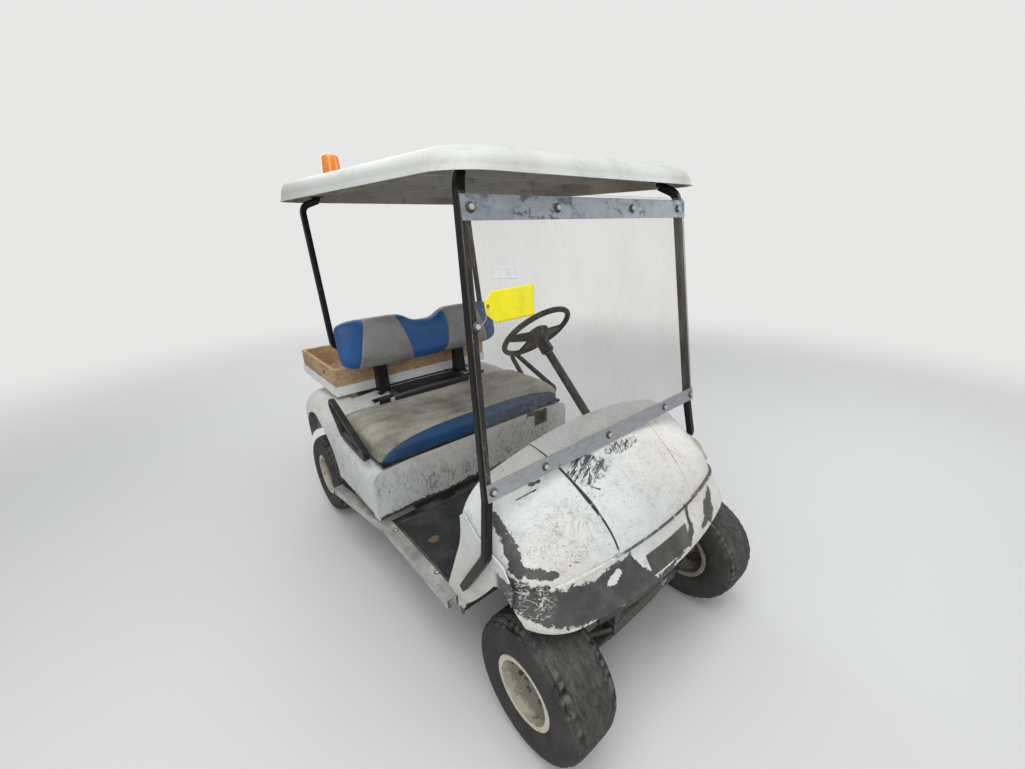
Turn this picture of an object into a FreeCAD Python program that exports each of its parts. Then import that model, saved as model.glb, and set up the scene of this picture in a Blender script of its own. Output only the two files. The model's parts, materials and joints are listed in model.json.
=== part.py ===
"""A two-seat golf cart with a moulded canopy, a clear windshield and a wooden cargo box.

Frame: millimetres, the floor is z = 0, the cart faces -Y and its left side is +X.
Everything is drawn about the middle of the wheelbase and moved at the end, so that
the origin lies under the middle of the whole cart.
"""
import FreeCAD, Part
import math
import os

V = FreeCAD.Vector
X, Y, Z = V(1, 0, 0), V(0, 1, 0), V(0, 0, 1)

# wheels and tracks
WHEELBASE = 1656.0
FRONT_TRACK = 902.0
REAR_TRACK = 984.0
TYRE_R = 225.0
TYRE_W = 212.0
TYRE_WALL = 12.0
BEAD_R = 102.0          # where the tyre sits on the rim
FLANGE_R = 115.0
RIM_W = 184.0           # over the two flanges
RIM_WALL = 4.0
DISC_IN = 52.0          # the disc, inwards from the outer flange
BORE_R = 30.0           # hole in the middle of the disc
HUB_R = 44.0
STUB_R = 12.5
STUB_GAP = 0.7          # round the stub axle, in the hub
LUG_CIRCLE = 51.0
PITMAN_X = 100.0        # steering box's output shaft, from the middle
SPRING_X = 330.0        # rear leaf springs, from the middle
SPRING_REACH = 300.0    # eye to axle
SPRING_RISE = 34.0
SPRING_PAD = 36.0       # spring seat over the rear axle's middle
LEAF_T = 8.0
KINGPIN_IN = 104.0      # from the middle of the front wheel inwards to the kingpin
ARM_LEN = 66.0          # steering arm, from the kingpin backwards
# frame
RAIL_X = 170.0
RAIL_W = 50.0
RAIL_H = 80.0
FLOOR_Z = 298.0         # top of the floorboard
FLOOR_T = 10.0
TOE = (-430.0, -552.0, 452.0, -612.0, 640.0)    # the toe board's bends: y, then y and z twice
MAT_T = 5.0
# body
COWL_W = 1100.0
COWL_Y = -560.0         # rear edge of the cowl's top
COWL_TOP = 880.0
FAN_Z = 560.0           # height of the axis that the cowl's sections turn about
WALL = 5.0              # moulded plastic
BODY_W = 1172.0
BODY_REAR = 1200.0
RISER_Y = 62.0          # front face of the seat riser
RISER_Z = 596.0         # its top, under the seat
SEAT_FRONT = RISER_Y - 14
ROCKER_Z = 352.0
ROCKER_H = 36.0
ROCKER_T = 4.0
ROCKER_BEND = 44.0      # how far the rear end of the right rocker is knocked outwards
# seat
SEAT_W = 1104.0
SEAT_D = 474.0
SEAT_T = 96.0
SEAT_BOARD_T = 12.0
SEAT_LIFT = 60.0        # degrees
BACK_W = 976.0
BACK_Z = 998.0          # middle of the bolster
BACK_Y = 602.0
BACK_H = 272.0
BACK_LEAN = 0.18        # run back for each unit of height
BACK_T = 118.0
# canopy, struts and windshield
ROOF_W = 1106.0
ROOF_L = 1540.0
ROOF_Y = 136.0          # its middle
ROOF_Z = 1672.0         # lower edge
ROOF_H = 92.0
ROOF_WALL = 6.0
STRUT = 26.0
STRUT_R = 5.0
SHIELD_TOP_Z = 1624.0
SHIELD_TOP_Y = -588.0
SHIELD_LOW_Z = 894.0
SHIELD_LOW_Y = -697.0
SHIELD_T = 5.0
SHIELD_TOP_X = 503.0
SHIELD_LOW_X = 544.0
TOP_BAR_H = 60.0
LOW_BAR_H = 52.0
BAR_T = 3.5
# steering wheel
WHEEL_X = 254.0
WHEEL_Y = -54.0
WHEEL_Z = 1058.0
WHEEL_R = 172.0
WHEEL_GRIP = 13.0
COLUMN_TILT = 44.0      # degrees from level
COLUMN_R = 19.0
# cargo box
BOX_W = 960.0
BOX_L = 570.0
BOX_Y = 999.0           # its middle
BOX_TOP = 855.0
BOX_H = 138.0
BOARD = 18.0
ANGLE = 52.0            # the steel frame's angle
ANGLE_T = 4.0

AXLE_F = -WHEELBASE / 2
AXLE_R = WHEELBASE / 2
KING_X = FRONT_TRACK / 2 - KINGPIN_IN
FRAME_FRONT = AXLE_F - 72


def box(x0, x1, y0, y1, z0, z1):
    return Part.makeBox(x1 - x0, y1 - y0, z1 - z0, V(x0, y0, z0))


def rod(a, b, r):
    return Part.makeCylinder(r, (b - a).Length, a, b - a)


def mirrored(shape):
    return shape.mirror(V(0, 0, 0), X)


def both(shape):
    return [shape, mirrored(shape)]


def fuse(shapes):
    out = shapes[0].multiFuse(shapes[1:]) if len(shapes) > 1 else shapes[0]
    return out.removeSplitter()


def outline(start, steps, place):
    """A closed wire: each step is an end point, or a pair of a point on an arc and its end."""
    edges, here = [], place(*start)
    for step in list(steps) + [start]:
        if isinstance(step[0], (tuple, list)):
            mid, end = place(*step[0]), place(*step[1])
            edges.append(Part.Arc(here, mid, end).toShape())
        else:
            end = place(*step)
            if end.distanceToPoint(here) < 1e-6:
                continue
            edges.append(Part.LineSegment(here, end).toShape())
        here = end
    return Part.Wire(edges)


def prism_x(start, steps, x0, x1):
    """A side view in (y, z), as thick as x0 to x1."""
    wire = outline(start, steps, lambda y, z: V(x0, y, z))
    return Part.Face(wire).extrude(V(x1 - x0, 0, 0))


def prism_z(start, steps, z0, z1):
    wire = outline(start, steps, lambda x, y: V(x, y, z0))
    return Part.Face(wire).extrude(V(0, 0, z1 - z0))


def prism_y(start, steps, y0, y1):
    wire = outline(start, steps, lambda x, z: V(x, y0, z))
    return Part.Face(wire).extrude(V(0, y1 - y0, 0))


def bent_path(points, radius):
    """Straight runs joined by tangent arcs."""
    edges, here = [], points[0]
    for a, b, c in zip(points, points[1:], points[2:]):
        u, w = (a - b).normalize(), (c - b).normalize()
        half = u.getAngle(w) / 2
        cut = radius / math.tan(half)
        p, q = b + u * cut, b + w * cut
        mid = b + (u + w).normalize() * (radius / math.sin(half) - radius)
        edges.append(Part.LineSegment(here, p).toShape())
        edges.append(Part.Arc(p, mid, q).toShape())
        here = q
    edges.append(Part.LineSegment(here, points[-1]).toShape())
    return Part.Wire(edges)


def round_tube(points, radius, r):
    path = bent_path(points, radius)
    ring = Part.Wire([Part.Circle(points[0], points[1] - points[0], r).toShape()])
    return path.makePipeShell([ring], True, False)


def square_tube(points, radius, size, corner, run=0, side=X):
    """A square section with rounded corners, one face square to side on the run so numbered."""
    ways = [(b - a).normalize() for a, b in zip(points, points[1:])]
    along = ways[run]
    u = (side - along * side.dot(along)).normalize()
    for k in range(run, 0, -1):
        u = FreeCAD.Rotation(ways[k], ways[k - 1]).multVec(u)
    along = ways[0]
    w = along.cross(u)
    h, k, m = size / 2, size / 2 - corner, size / 2 - corner * (1 - math.sqrt(0.5))

    def put(a, b):
        return points[0] + u * a + w * b
    steps = [(k, -h), ((m, -m), (h, -k)), (h, k), ((m, m), (k, h)),
             (-k, h), ((-m, m), (-h, k)), (-h, -k), ((-m, -m), (-k, -h))]
    ring = outline((-k, -h), steps, put)
    return bent_path(points, radius).makePipeShell([ring], True, False)


def turned(profile, centre, axis):
    """Revolve a closed outline in (along, radius) about the axis through centre."""
    other = Z if abs(axis.z) < 0.9 else X
    other = (other - axis * other.dot(axis)).normalize()
    wire = outline(profile[0], profile[1:], lambda a, r: centre + axis * a + other * r)
    return Part.Face(wire).revolve(centre, axis, 360)


# wheels

def tyre(centre, out):
    """A worn, almost smooth tyre on its two beads."""
    w, s = TYRE_W / 2, RIM_W / 2 - RIM_WALL
    t, r = TYRE_WALL, TYRE_R
    low = BEAD_R
    wide = (low + r) / 2 - 6
    heel = FLANGE_R + 1.0
    half = [(-s, low), (-s, heel), ((-w, wide), (-w + 14, r - 22)),
            ((-w + 19, r - 9), (-w + 34, r - 3)), ((0, r), (w - 34, r - 3)),
            ((w - 19, r - 9), (w - 14, r - 22)), ((w, wide), (s, heel)), (s, low),
            (s - 20, low), (s - 20, low + t), ((w - t, wide), (w - 18 - t, r - 16 - t)),
            ((0, r - t - 6), (-w + 18 + t, r - 16 - t)), ((-w + t, wide), (-s + 20, low + t)),
            (-s + 20, low)]
    return turned(half, centre, out)


def rim(centre, out):
    """Pressed steel wheel: a barrel with two flanges and a drop centre, a dished disc and the hub."""
    h, t = RIM_W / 2, RIM_WALL
    seat, drop = BEAD_R, BEAD_R - 18
    barrel = [(h, FLANGE_R), (h - t, FLANGE_R), (h - t, seat), (h - 30, seat), (h - 44, drop),
              (-h + 62, drop), (-h + 30, seat), (-h + t, seat), (-h + t, FLANGE_R), (-h, FLANGE_R),
              (-h, seat - t), (-h + 32, seat - t), (-h + 64, drop - t), (h - 46, drop - t),
              (h - 32, seat - t), (h, seat - t)]
    d = h - DISC_IN
    disc = [(d + 8, drop - t), (d + 8, 74), (d - 6, 62), (d - 6, BORE_R), (d - 6 - t, BORE_R),
            (d - 6 - t, 64), (d + 8 - t, 78), (d + 8 - t, drop - t)]
    face = d - 6 - t
    hub = [(face, STUB_R + STUB_GAP), (face, 66), (face - 8, 66), (face - 8, HUB_R),
           (face - 62, HUB_R - 6), (face - 62, STUB_R + STUB_GAP)]
    cap = [(face, 0), (face + 26, 0), ((face + 24, 12), (face + 18, 17)), (face, 18)]
    body = fuse([turned(barrel, centre, out), turned(disc, centre, out),
                 turned(hub, centre, out)])
    cuts = []
    for k in range(8):
        a = math.radians(22.5 + 45 * k)
        spot = centre + Y * (69 * math.cos(a)) + Z * (69 * math.sin(a))
        slot = fuse([rod(spot + n - out * 90, spot + n + out * 90, 4.5)
                     for n in (V(0, -6 * math.sin(a), 6 * math.cos(a)),
                               V(0, 6 * math.sin(a), -6 * math.cos(a)))]
                    + [turned([(-90, 0), (90, 0), (90, 4.5), (-90, 4.5)], spot, out)])
        cuts.append(slot)
    body = body.cut(Part.makeCompound(cuts).common(turned(
        [(d - 12, 60), (d + 20, 60), (d + 20, 80), (d - 12, 80)], centre, out)))
    nuts = []
    for k in range(4):
        a = math.radians(45 + 90 * k)
        spot = centre + Y * (LUG_CIRCLE * math.cos(a)) + Z * (LUG_CIRCLE * math.sin(a))
        nuts.append(rod(spot + out * (d - 8), spot + out * (d + 6), 8.5))
    cap_solid = turned(cap, centre, out)
    ring = turned([(face, 17), (face + 2, 17), (face + 2, BORE_R + 4), (face, BORE_R + 4)], centre, out)
    return fuse([body, cap_solid, ring] + nuts)


def wheel_nodes():
    out = {}
    table = (("front_right", -FRONT_TRACK / 2, AXLE_F, -1), ("front_left", FRONT_TRACK / 2, AXLE_F, 1),
             ("rear_right", -REAR_TRACK / 2, AXLE_R, -1), ("rear_left", REAR_TRACK / 2, AXLE_R, 1))
    for name, x, y, side in table:
        centre, axis = V(x, y, TYRE_R), X * side
        out[name + "_tyre"] = [tyre(centre, axis)]
        out[name + "_rim"] = [rim(centre, axis)]
    return out


def hub_face(track):
    """Distance from the middle plane out to the inner end of a hub."""
    return track / 2 + RIM_W / 2 - DISC_IN - 6 - RIM_WALL - 62


HOUSING_H = 96.0        # kingpin housing, top to bottom
SPRING_SAG = 10.0
EYE_Z = TYRE_R + SPRING_PAD + SPRING_RISE + LEAF_T
SPRING_TOP = TYRE_R - HOUSING_H / 2 - SPRING_SAG
KNUCKLE_R = 24.0
PIN_R = 9.0
PIN_GAP = 0.5
LUG_T = 16.0            # the housing's upper and lower ears
ARM_DROP = 12.0         # steering arm below the axle
ARM_T = 12.0
BALL_R = 5.5            # tie rod's pins, in the steering arms
ROD_R = 7.0


def knuckle(side):
    """Stub axle, kingpin boss and steering arm, for the right wheel when side is -1."""
    x, z = side * KING_X, TYRE_R
    half = HOUSING_H / 2 - LUG_T - PIN_GAP
    boss = rod(V(x, AXLE_F, z - half), V(x, AXLE_F, z + half), KNUCKLE_R)
    start = V(x, AXLE_F, z)
    tip = hub_face(FRONT_TRACK) + 60
    stub = rod(start, V(side * tip, AXLE_F, z), STUB_R)
    shoulder = rod(start, V(side * (hub_face(FRONT_TRACK) - STUB_GAP), AXLE_F, z), STUB_R + 8)
    arm_end = V(x, AXLE_F + ARM_LEN, z - ARM_DROP)
    arm = box(x - 9, x + 9, AXLE_F, AXLE_F + ARM_LEN, z - ARM_DROP - ARM_T / 2, z - ARM_DROP + ARM_T / 2)
    eye = rod(arm_end - Z * (ARM_T / 2), arm_end + Z * (ARM_T / 2), 12)
    hole = rod(arm_end - Z * 20, arm_end + Z * 9, BALL_R + PIN_GAP)
    pin_hole = rod(V(x, AXLE_F, z - 90), V(x, AXLE_F, z + 90), PIN_R + PIN_GAP)
    return [fuse([boss, stub, shoulder, arm, eye]).cut(fuse([hole, pin_hole]))]


def kingpin_carrier(side):
    """The yoke that holds the kingpin, with the pin itself."""
    x, z, h = side * KING_X, TYRE_R, HOUSING_H / 2
    back = KNUCKLE_R + 6
    parts = [rod(V(x, AXLE_F, z - h), V(x, AXLE_F, z + h), PIN_R)]
    for low in (z - h, z + h - LUG_T):
        parts.append(rod(V(x, AXLE_F, low), V(x, AXLE_F, low + LUG_T), 20))
        parts.append(box(min(x, x - side * (back + 14)), max(x, x - side * (back + 14)),
                         AXLE_F - 16, AXLE_F + 16, low, low + LUG_T))
    web = x - side * (back + 8)
    parts.append(box(web - 6, web + 6, AXLE_F - 16, AXLE_F + 16, z - h, z + h))
    return fuse(parts)


def front_suspension():
    """Transverse leaf spring below, two arms above, and the kingpin carriers at their ends."""
    out = []
    inner = KING_X - KNUCKLE_R - 20
    low = TYRE_R - HOUSING_H / 2
    for k, reach in enumerate((inner + 20, inner * 0.72, inner * 0.5)):
        sag = SPRING_SAG * (reach / (inner + 20)) ** 2
        z = SPRING_TOP - 0.3 - LEAF_T + sag - (LEAF_T + 0.3) * k
        out.append(prism_y((-reach, z), [((0, z - sag), (reach, z)), (reach, z + LEAF_T),
                                         ((0, z - sag + LEAF_T), (-reach, z + LEAF_T))],
                           AXLE_F - 28, AXLE_F + 28))
    top = TYRE_R + HOUSING_H / 2
    arms = []
    for side in (-1, 1):
        carrier = kingpin_carrier(side)
        x0, x1 = side * (RAIL_X + RAIL_W / 2), side * (KING_X - KNUCKLE_R - 12)
        for dy in (-62, 62):
            arms.append(rod(V(x0, AXLE_F + dy, top - 8), V(x1, AXLE_F + dy * 0.12, top - 8), 8))
        arms.append(carrier)
    rails = box(-RAIL_X - RAIL_W / 2 - 0.3, RAIL_X + RAIL_W / 2 + 0.3, AXLE_F - 120, AXLE_F + 120, 0, FLOOR_Z)
    return out + [fuse(arms[:3]).cut(rails), fuse(arms[3:]).cut(rails)]


def tie_rod():
    z = TYRE_R - ARM_DROP - ARM_T / 2 - PIN_GAP - 9
    y = AXLE_F + ARM_LEN
    a, b = V(-KING_X, y, z), V(KING_X, y, z)
    parts = [rod(a, b, ROD_R)]
    for end in (a, V(PITMAN_X, y, z), b):
        parts.append(rod(end - Z * 9, end + Z * 9, 10))
        parts.append(rod(end, end + Z * (9 + PIN_GAP + ARM_T), BALL_R))
    return [fuse(parts)]


def chassis_frame():
    z1 = FLOOR_Z - FLOOR_T
    z0 = z1 - RAIL_H
    parts = []
    for side in (-1, 1):
        x = side * RAIL_X
        parts.append(box(x - RAIL_W / 2, x + RAIL_W / 2, FRAME_FRONT, AXLE_R - 190, z1 - 42, z1))
        parts.append(box(x - RAIL_W / 2, x + RAIL_W / 2, AXLE_F + 150, AXLE_R - 190, z0, z1 - 42))
        parts.append(prism_x((AXLE_R - 200, z0), [(AXLE_R - 150, z0), (AXLE_R + 8, z1 + 42),
                                                  (BODY_REAR - 60, z1 + 42), (BODY_REAR - 60, z1 + 92),
                                                  (AXLE_R - 20, z1 + 92), (AXLE_R - 90, z1),
                                                  (AXLE_R - 200, z1)], x - RAIL_W / 2, x + RAIL_W / 2))
    parts.append(box(-RAIL_X, RAIL_X, AXLE_F - 40, AXLE_F + 40, z1 - 42, z1))
    parts.append(box(-54, 54, AXLE_F - 30, AXLE_F + 30, SPRING_TOP, z1 - 42))
    for y in (FRAME_FRONT, AXLE_F + 160, RISER_Y, RISER_Y + 400):
        parts.append(box(-RAIL_X, RAIL_X, y, y + 40, z1 - 40, z1))
    parts.append(box(-SPRING_X - 36, SPRING_X + 36, BODY_REAR - 110, BODY_REAR - 70, z1 + 42, z1 + 92))
    z = EYE_Z
    for side in (-1, 1):
        for edge in (-1, 1):
            a, b = sorted((side * SPRING_X + edge * 25.6, side * SPRING_X + edge * 32))
            for y, lo, hi in ((AXLE_R - SPRING_REACH, z1 - 40, z + 12),
                              (AXLE_R + SPRING_REACH, z - 12, z1 + 48)):
                y0, y1 = (RISER_Y + 400, y + 12) if y < AXLE_R else (y - 12, y + 12)
                plate = box(a, b, y0, y1, lo, hi)
                parts.append(plate.cut(rod(V(a - 5, y, z), V(b + 5, y, z), 6.3)))
    for y in (AXLE_F + 340, RISER_Y + 10, RISER_Y + 380):
        parts.append(box(-COWL_W / 2 + 26, COWL_W / 2 - 26, y, y + 40, z1 - 40, z1))
    frame = fuse(parts)
    return [frame.cut(rod(V(PITMAN_X, AXLE_F, z0), V(PITMAN_X, AXLE_F, z1 + 1), PIN_R + PIN_GAP))]


def pitman_arm():
    """Output shaft of the steering box and its arm, parallel to the steering arms."""
    z = TYRE_R - ARM_DROP
    arm = box(PITMAN_X - 9, PITMAN_X + 9, AXLE_F, AXLE_F + ARM_LEN, z - ARM_T / 2, z + ARM_T / 2)
    eye = rod(V(PITMAN_X, AXLE_F + ARM_LEN, z - ARM_T / 2), V(PITMAN_X, AXLE_F + ARM_LEN, z + ARM_T / 2), 12)
    boss = rod(V(PITMAN_X, AXLE_F, z - ARM_T / 2), V(PITMAN_X, AXLE_F, z + ARM_T / 2), 16)
    shaft = rod(V(PITMAN_X, AXLE_F, z), V(PITMAN_X, AXLE_F, FLOOR_Z - FLOOR_T + 12), PIN_R)
    hole = rod(V(PITMAN_X, AXLE_F + ARM_LEN, z - 20), V(PITMAN_X, AXLE_F + ARM_LEN, z + 9), BALL_R + PIN_GAP)
    return [fuse([arm, eye, boss, shaft]).cut(hole)]


# axle and springs at the back


DAMPER_X = 232.0
MOTOR_X = 76.0          # face of the gearbox that carries the motor


def rear_axle():
    """Axle tube, gearbox and shafts, with the electric motor on the gearbox's side."""
    tip = hub_face(REAR_TRACK) - STUB_GAP
    end = hub_face(REAR_TRACK) + 60
    tube = rod(V(-tip, AXLE_R, TYRE_R), V(tip, AXLE_R, TYRE_R), 29)
    shaft = rod(V(-end, AXLE_R, TYRE_R), V(end, AXLE_R, TYRE_R), STUB_R)
    pot = turned([(-74, 0), (-74, 62), ((-58, 96), (-20, 104)), (20, 104), ((58, 96), (74, 62)), (74, 0)],
                 V(0, AXLE_R, TYRE_R), X)
    nose = prism_x((AXLE_R, TYRE_R - 60), [(AXLE_R + 150, TYRE_R - 30),
                                           ((AXLE_R + 190, TYRE_R + 22), (AXLE_R + 150, TYRE_R + 74)),
                                           (AXLE_R, TYRE_R + 70)], -60, MOTOR_X)
    pads = []
    for side in (-1, 1):
        x = side * SPRING_X
        pads.append(box(x - 32, x + 32, AXLE_R - 34, AXLE_R + 34, TYRE_R, TYRE_R + SPRING_PAD))
        a, b = sorted((side * (DAMPER_X + 19), side * (DAMPER_X + 26)))
        pads.append(box(a, b, AXLE_R - 72, AXLE_R, TYRE_R - 12, TYRE_R + 24))
    return [fuse([tube, shaft, pot, nose] + pads), drive_motor()]


def drive_motor():
    """Electric motor beside the gearbox, behind the axle."""
    y, z = AXLE_R + 130, TYRE_R + 4
    body = turned([(0, 0), (0, 84), (14, 92), (194, 92), (206, 80), (206, 30), (214, 30), (214, 0)],
                  V(MOTOR_X + 0.3, y, z), X)
    bands = [turned([(p, 90), (p, 95), (p + 10, 95), (p + 10, 90)], V(MOTOR_X + 0.3, y, z), X)
             for p in (32, 166)]
    return fuse([body] + bands)


def rear_suspension():
    """Leaf springs over the axle with their shackles, and two dampers."""
    out = []
    top = TYRE_R + SPRING_PAD + 0.3
    y0, y1 = AXLE_R - SPRING_REACH, AXLE_R + SPRING_REACH
    for side in (-1, 1):
        x = side * SPRING_X
        leaves = []
        for k, reach in enumerate((SPRING_REACH, SPRING_REACH * 0.66)):
            z = top + k * (LEAF_T + 0.3)
            rise = SPRING_RISE * (reach / SPRING_REACH) ** 2
            leaves.append(prism_x((AXLE_R - reach, z + rise),
                                  [((AXLE_R, z), (AXLE_R + reach, z + rise)),
                                   (AXLE_R + reach, z + rise + LEAF_T),
                                   ((AXLE_R, z + LEAF_T), (AXLE_R - reach, z + rise + LEAF_T))],
                                  x - 25, x + 25))
        eyes = [rod(V(x - 25, y, EYE_Z), V(x + 25, y, EYE_Z), 13) for y in (y0, y1)]
        pins = [rod(V(x - 38, y, EYE_Z), V(x + 38, y, EYE_Z), 6) for y in (y0, y1)]
        out.append(fuse([leaves[0]] + eyes + pins))
        out.append(leaves[1])
        low = V(side * DAMPER_X, AXLE_R - 58, TYRE_R + 7)
        high = V(side * (DAMPER_X - 12), AXLE_R + 24, FLOOR_Z + 58)
        along = (high - low).normalize()
        inner = side * (RAIL_X + RAIL_W / 2 + 0.3)
        out.append(fuse([rod(low + along * 12, low + along * 84, 18), rod(low, high, 7),
                         rod(low - X * (side * 12), low + X * (side * 18.7), 9),
                         rod(V(inner, high.y, high.z), high + X * (side * 12), 9)]))
    return out


def battery_pack():
    z0 = FLOOR_Z - FLOOR_T
    return [box(-392, 392, RISER_Y + 50, RISER_Y + 400, z0, z0 + 262)]


# floor

def floorboard():
    w = COWL_W / 2 - WALL - 1.2
    z1, z0 = FLOOR_Z, FLOOR_Z - FLOOR_T
    t = FLOOR_T
    (ya, yb, zb, yc, zc) = TOE
    plate = prism_x((RISER_Y - 0.3, z0), [(RISER_Y - 0.3, z1), (ya, z1), (yb, zb), (yc, zc),
                                          (yc - t, zc), (yb - t, zb - 4), (ya - 6, z0)], -w, w)
    hub, d = V(WHEEL_X, WHEEL_Y, WHEEL_Z), column_dir()
    return [plate.cut(rod(hub, hub + d * 900, COLUMN_R + 1.0))]


def floor_mat():
    w = COWL_W / 2 - 44
    z = FLOOR_Z
    y0, y1 = -424.0, RISER_Y - 12
    ribs = [box(-w + 16, w - 16, y0 + 20 + 18 * k, y0 + 26 + 18 * k, z + MAT_T - 1, z + MAT_T + 1.5)
            for k in range(int((y1 - y0 - 40) / 18))]
    return [fuse([box(-w, w, y0, y1, z, z + MAT_T)] + ribs)]


def rocker(side):
    """Two bent strips along one side; the rear one of the right side is knocked outwards."""
    x1, t = BODY_W / 2 + 4, ROCKER_T
    z0, z1 = ROCKER_Z - ROCKER_H, ROCKER_Z
    inner = COWL_W / 2 - 3
    y0, y1, y2 = CHEEK_TOE + 4, RISER_Y - 40, AXLE_R - 308

    def strip(a, b):
        return fuse([box(x1 - t, x1, a, b, z0, z1), box(inner, x1, a, b, z1 - t, z1),
                     box(x1 - 16, x1, a, b, z0, z0 + t)])
    front = strip(y0, y1)
    step = box(COWL_W / 2 - WALL - 0.9, inner + 1, y0 + 12, y1, FLOOR_Z, z1)
    front = fuse([front, step])
    rear = strip(y1 + 2, y2)
    if side < 0:
        turn = math.degrees(math.atan2(ROCKER_BEND, y2 - y1))
        rear.rotate(V(x1, y1 + 2, z1), Z, -turn)
        rear.rotate(V(x1, y1 + 2, z1), X, -turn * 0.9)
        return [mirrored(front), mirrored(rear)]
    return [front, rear]


# front body

FAN = ((90.0, 322.0, 150.0), (66.0, 303.0, 165.0), (45.0, 306.0, 172.0), (24.0, 336.0, 176.0),
       (8.0, 362.0, 178.0))
BAND = ((7.8, 374.0, 180.0), (-2.0, 396.0, 180.0), (-9.0, 430.0, 186.0), (-17.0, 436.0, 190.0))
CROWN_R = 1750.0        # the bonnet's gentle curve from side to side
FAN_START = 60.0
CHEEK_TOE = -500.0      # the cheek's tongue ends here, in front of the rocker
CHEEK_TIP_Z = 284.0
LIP_Z = 488.0           # lower edge of the nose
PANEL_RISE = 4.0        # the raised middle of the bonnet
PANEL_TOP, PANEL_LOW = 264.0, 206.0     # half its width at the rear and at the nose


def fan_wire(angle, reach, corner, inset, start=FAN_START):
    """A section of the cowl in a plane through the fan's axis: side, corner, crown, corner, side."""
    w, r, rc, big = COWL_W / 2 - inset, reach - inset, corner - inset, CROWN_R - inset
    a = math.radians(angle)

    def put(x, s):
        return V(x, COWL_Y - s * math.cos(a), FAN_Z + s * math.sin(a))
    cc = (r - big) + math.sqrt((big - rc) ** 2 - (w - rc) ** 2)
    lean = math.atan2(w - rc, cc - (r - big))
    tx, ts = big * math.sin(lean), r - big + big * math.cos(lean)
    half = (lean + math.pi / 2) / 2
    mx, ms = w - rc + rc * math.sin(half), cc + rc * math.cos(half)
    return outline((-w, start), [(-w, cc), ((-mx, ms), (-tx, ts)), ((0, r), (tx, ts)),
                                 ((mx, ms), (w, cc)), (w, start)], put)


def fan_solid(table, inset, start=FAN_START):
    return Part.makeLoft([fan_wire(a, r, c, inset, start) for a, r, c in table], True, False)


def cowl_hollow(clear):
    """The space under the bonnet, so far inside its wall."""
    return fan_solid(((91.0,) + FAN[0][1:],) + FAN[1:], WALL + clear, FAN_START - 20)


def bonnet_panel_column():
    """Upright column over the raised middle of the bonnet; its sides make the two creases."""
    y0, y1 = COWL_Y + 1, COWL_Y - FAN[-1][1] - 20
    return prism_z((-PANEL_TOP, y0), [(PANEL_TOP, y0), (PANEL_LOW, y1), (-PANEL_LOW, y1)], FAN_Z, COWL_TOP + 40)


def front_cowl():
    """Moulded cowl: bonnet and nose as a fan of sections, the proud lower band, and two cheeks."""
    tip = BAND[-1][0] - 1.0
    panel = fan_solid(FAN, -PANEL_RISE).common(bonnet_panel_column())
    outer = fuse([fan_solid(FAN, 0), fan_solid(BAND, 0), panel])
    band_hollow = fan_solid((FAN[-1],) + BAND[1:-1] + ((tip,) + BAND[-1][1:],), WALL, FAN_START - 20)
    shell = outer.cut(fuse([cowl_hollow(0.0), band_hollow]))
    w = COWL_W / 2
    toe = ROCKER_Z + 0.3
    cheek = prism_x((-437, toe), [(CHEEK_TOE, toe), (CHEEK_TOE, CHEEK_TIP_Z + 8), (CHEEK_TOE - 24, CHEEK_TIP_Z),
                                  (-548, toe), ((-640, 459), (-704, 546)), ((-751, 573), (-792, 540)),
                                  (-802, 600), (-760, 660), (-640, 690), (-575, 740), (-553, 720),
                                  ((-548, 640), (-520, 556))], w - WALL - 1, w - 0.6)
    arch = prism_x((-549, toe - 60), [(-548, toe), ((-640, 459), (-704, 546)), ((-751, 573), (-792, 540)),
                                      (-826, 506), (-860, 440), (-860, toe - 60)], -w - 30, w + 30)
    below = box(-w - 30, w + 30, COWL_Y - BAND[-1][1] - 30, -820, toe, LIP_Z)
    body = fuse([shell] + both(cheek)).cut(fuse([arch, below]))
    return [body.cut(badge_block(-1.5, 40.0))]


BADGE_W = 232.0
BADGE_TURN = (1.0, -7.4)


def badge_block(depth, out):
    """A slab between two planes of the fan, from depth under the band's face to out above it."""
    wires = []
    for angle in BADGE_TURN:
        a = math.radians(angle)
        (a0, r0, c0), (a1, r1, c1) = BAND[0 if angle > BAND[1][0] else 1], BAND[1 if angle > BAND[1][0] else 2]
        r = r0 + (r1 - r0) * (angle - a0) / (a1 - a0)
        h = BADGE_W / 2
        drop = h * h / (2 * CROWN_R)

        def put(x, s):
            return V(x, COWL_Y - s * math.cos(a), FAN_Z + s * math.sin(a))
        lo, hi = r + depth - 3.0, r + out
        wires.append(outline((-h, lo - drop), [((0, lo), (h, lo - drop)), (h, hi - drop),
                                               ((0, hi), (-h, hi - drop))], put))
    return Part.makeLoft(wires, True, True)


def nose_plate():
    """The bare plate in the nose's recess."""
    return [badge_block(-1.5, -0.5)]


def dash_panel():
    """The rear face of the cowl, with an open tray on each side."""
    w = COWL_W / 2 - WALL - 1.3
    face = box(-w, w, COWL_Y - 24, COWL_Y - 20, 656, COWL_TOP)
    trays = []
    holes = []
    for x0, x1 in ((-430, -130), (130, 190), (334, 430)):
        trays.append(box(x0 - 4, x1 + 4, COWL_Y - 90, COWL_Y - 20, 700, 800))
        holes.append(box(x0, x1, COWL_Y - 86, COWL_Y + 2, 704, 796))
    return [fuse([face] + trays).cut(fuse(holes)).common(cowl_hollow(0.3))]


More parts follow.
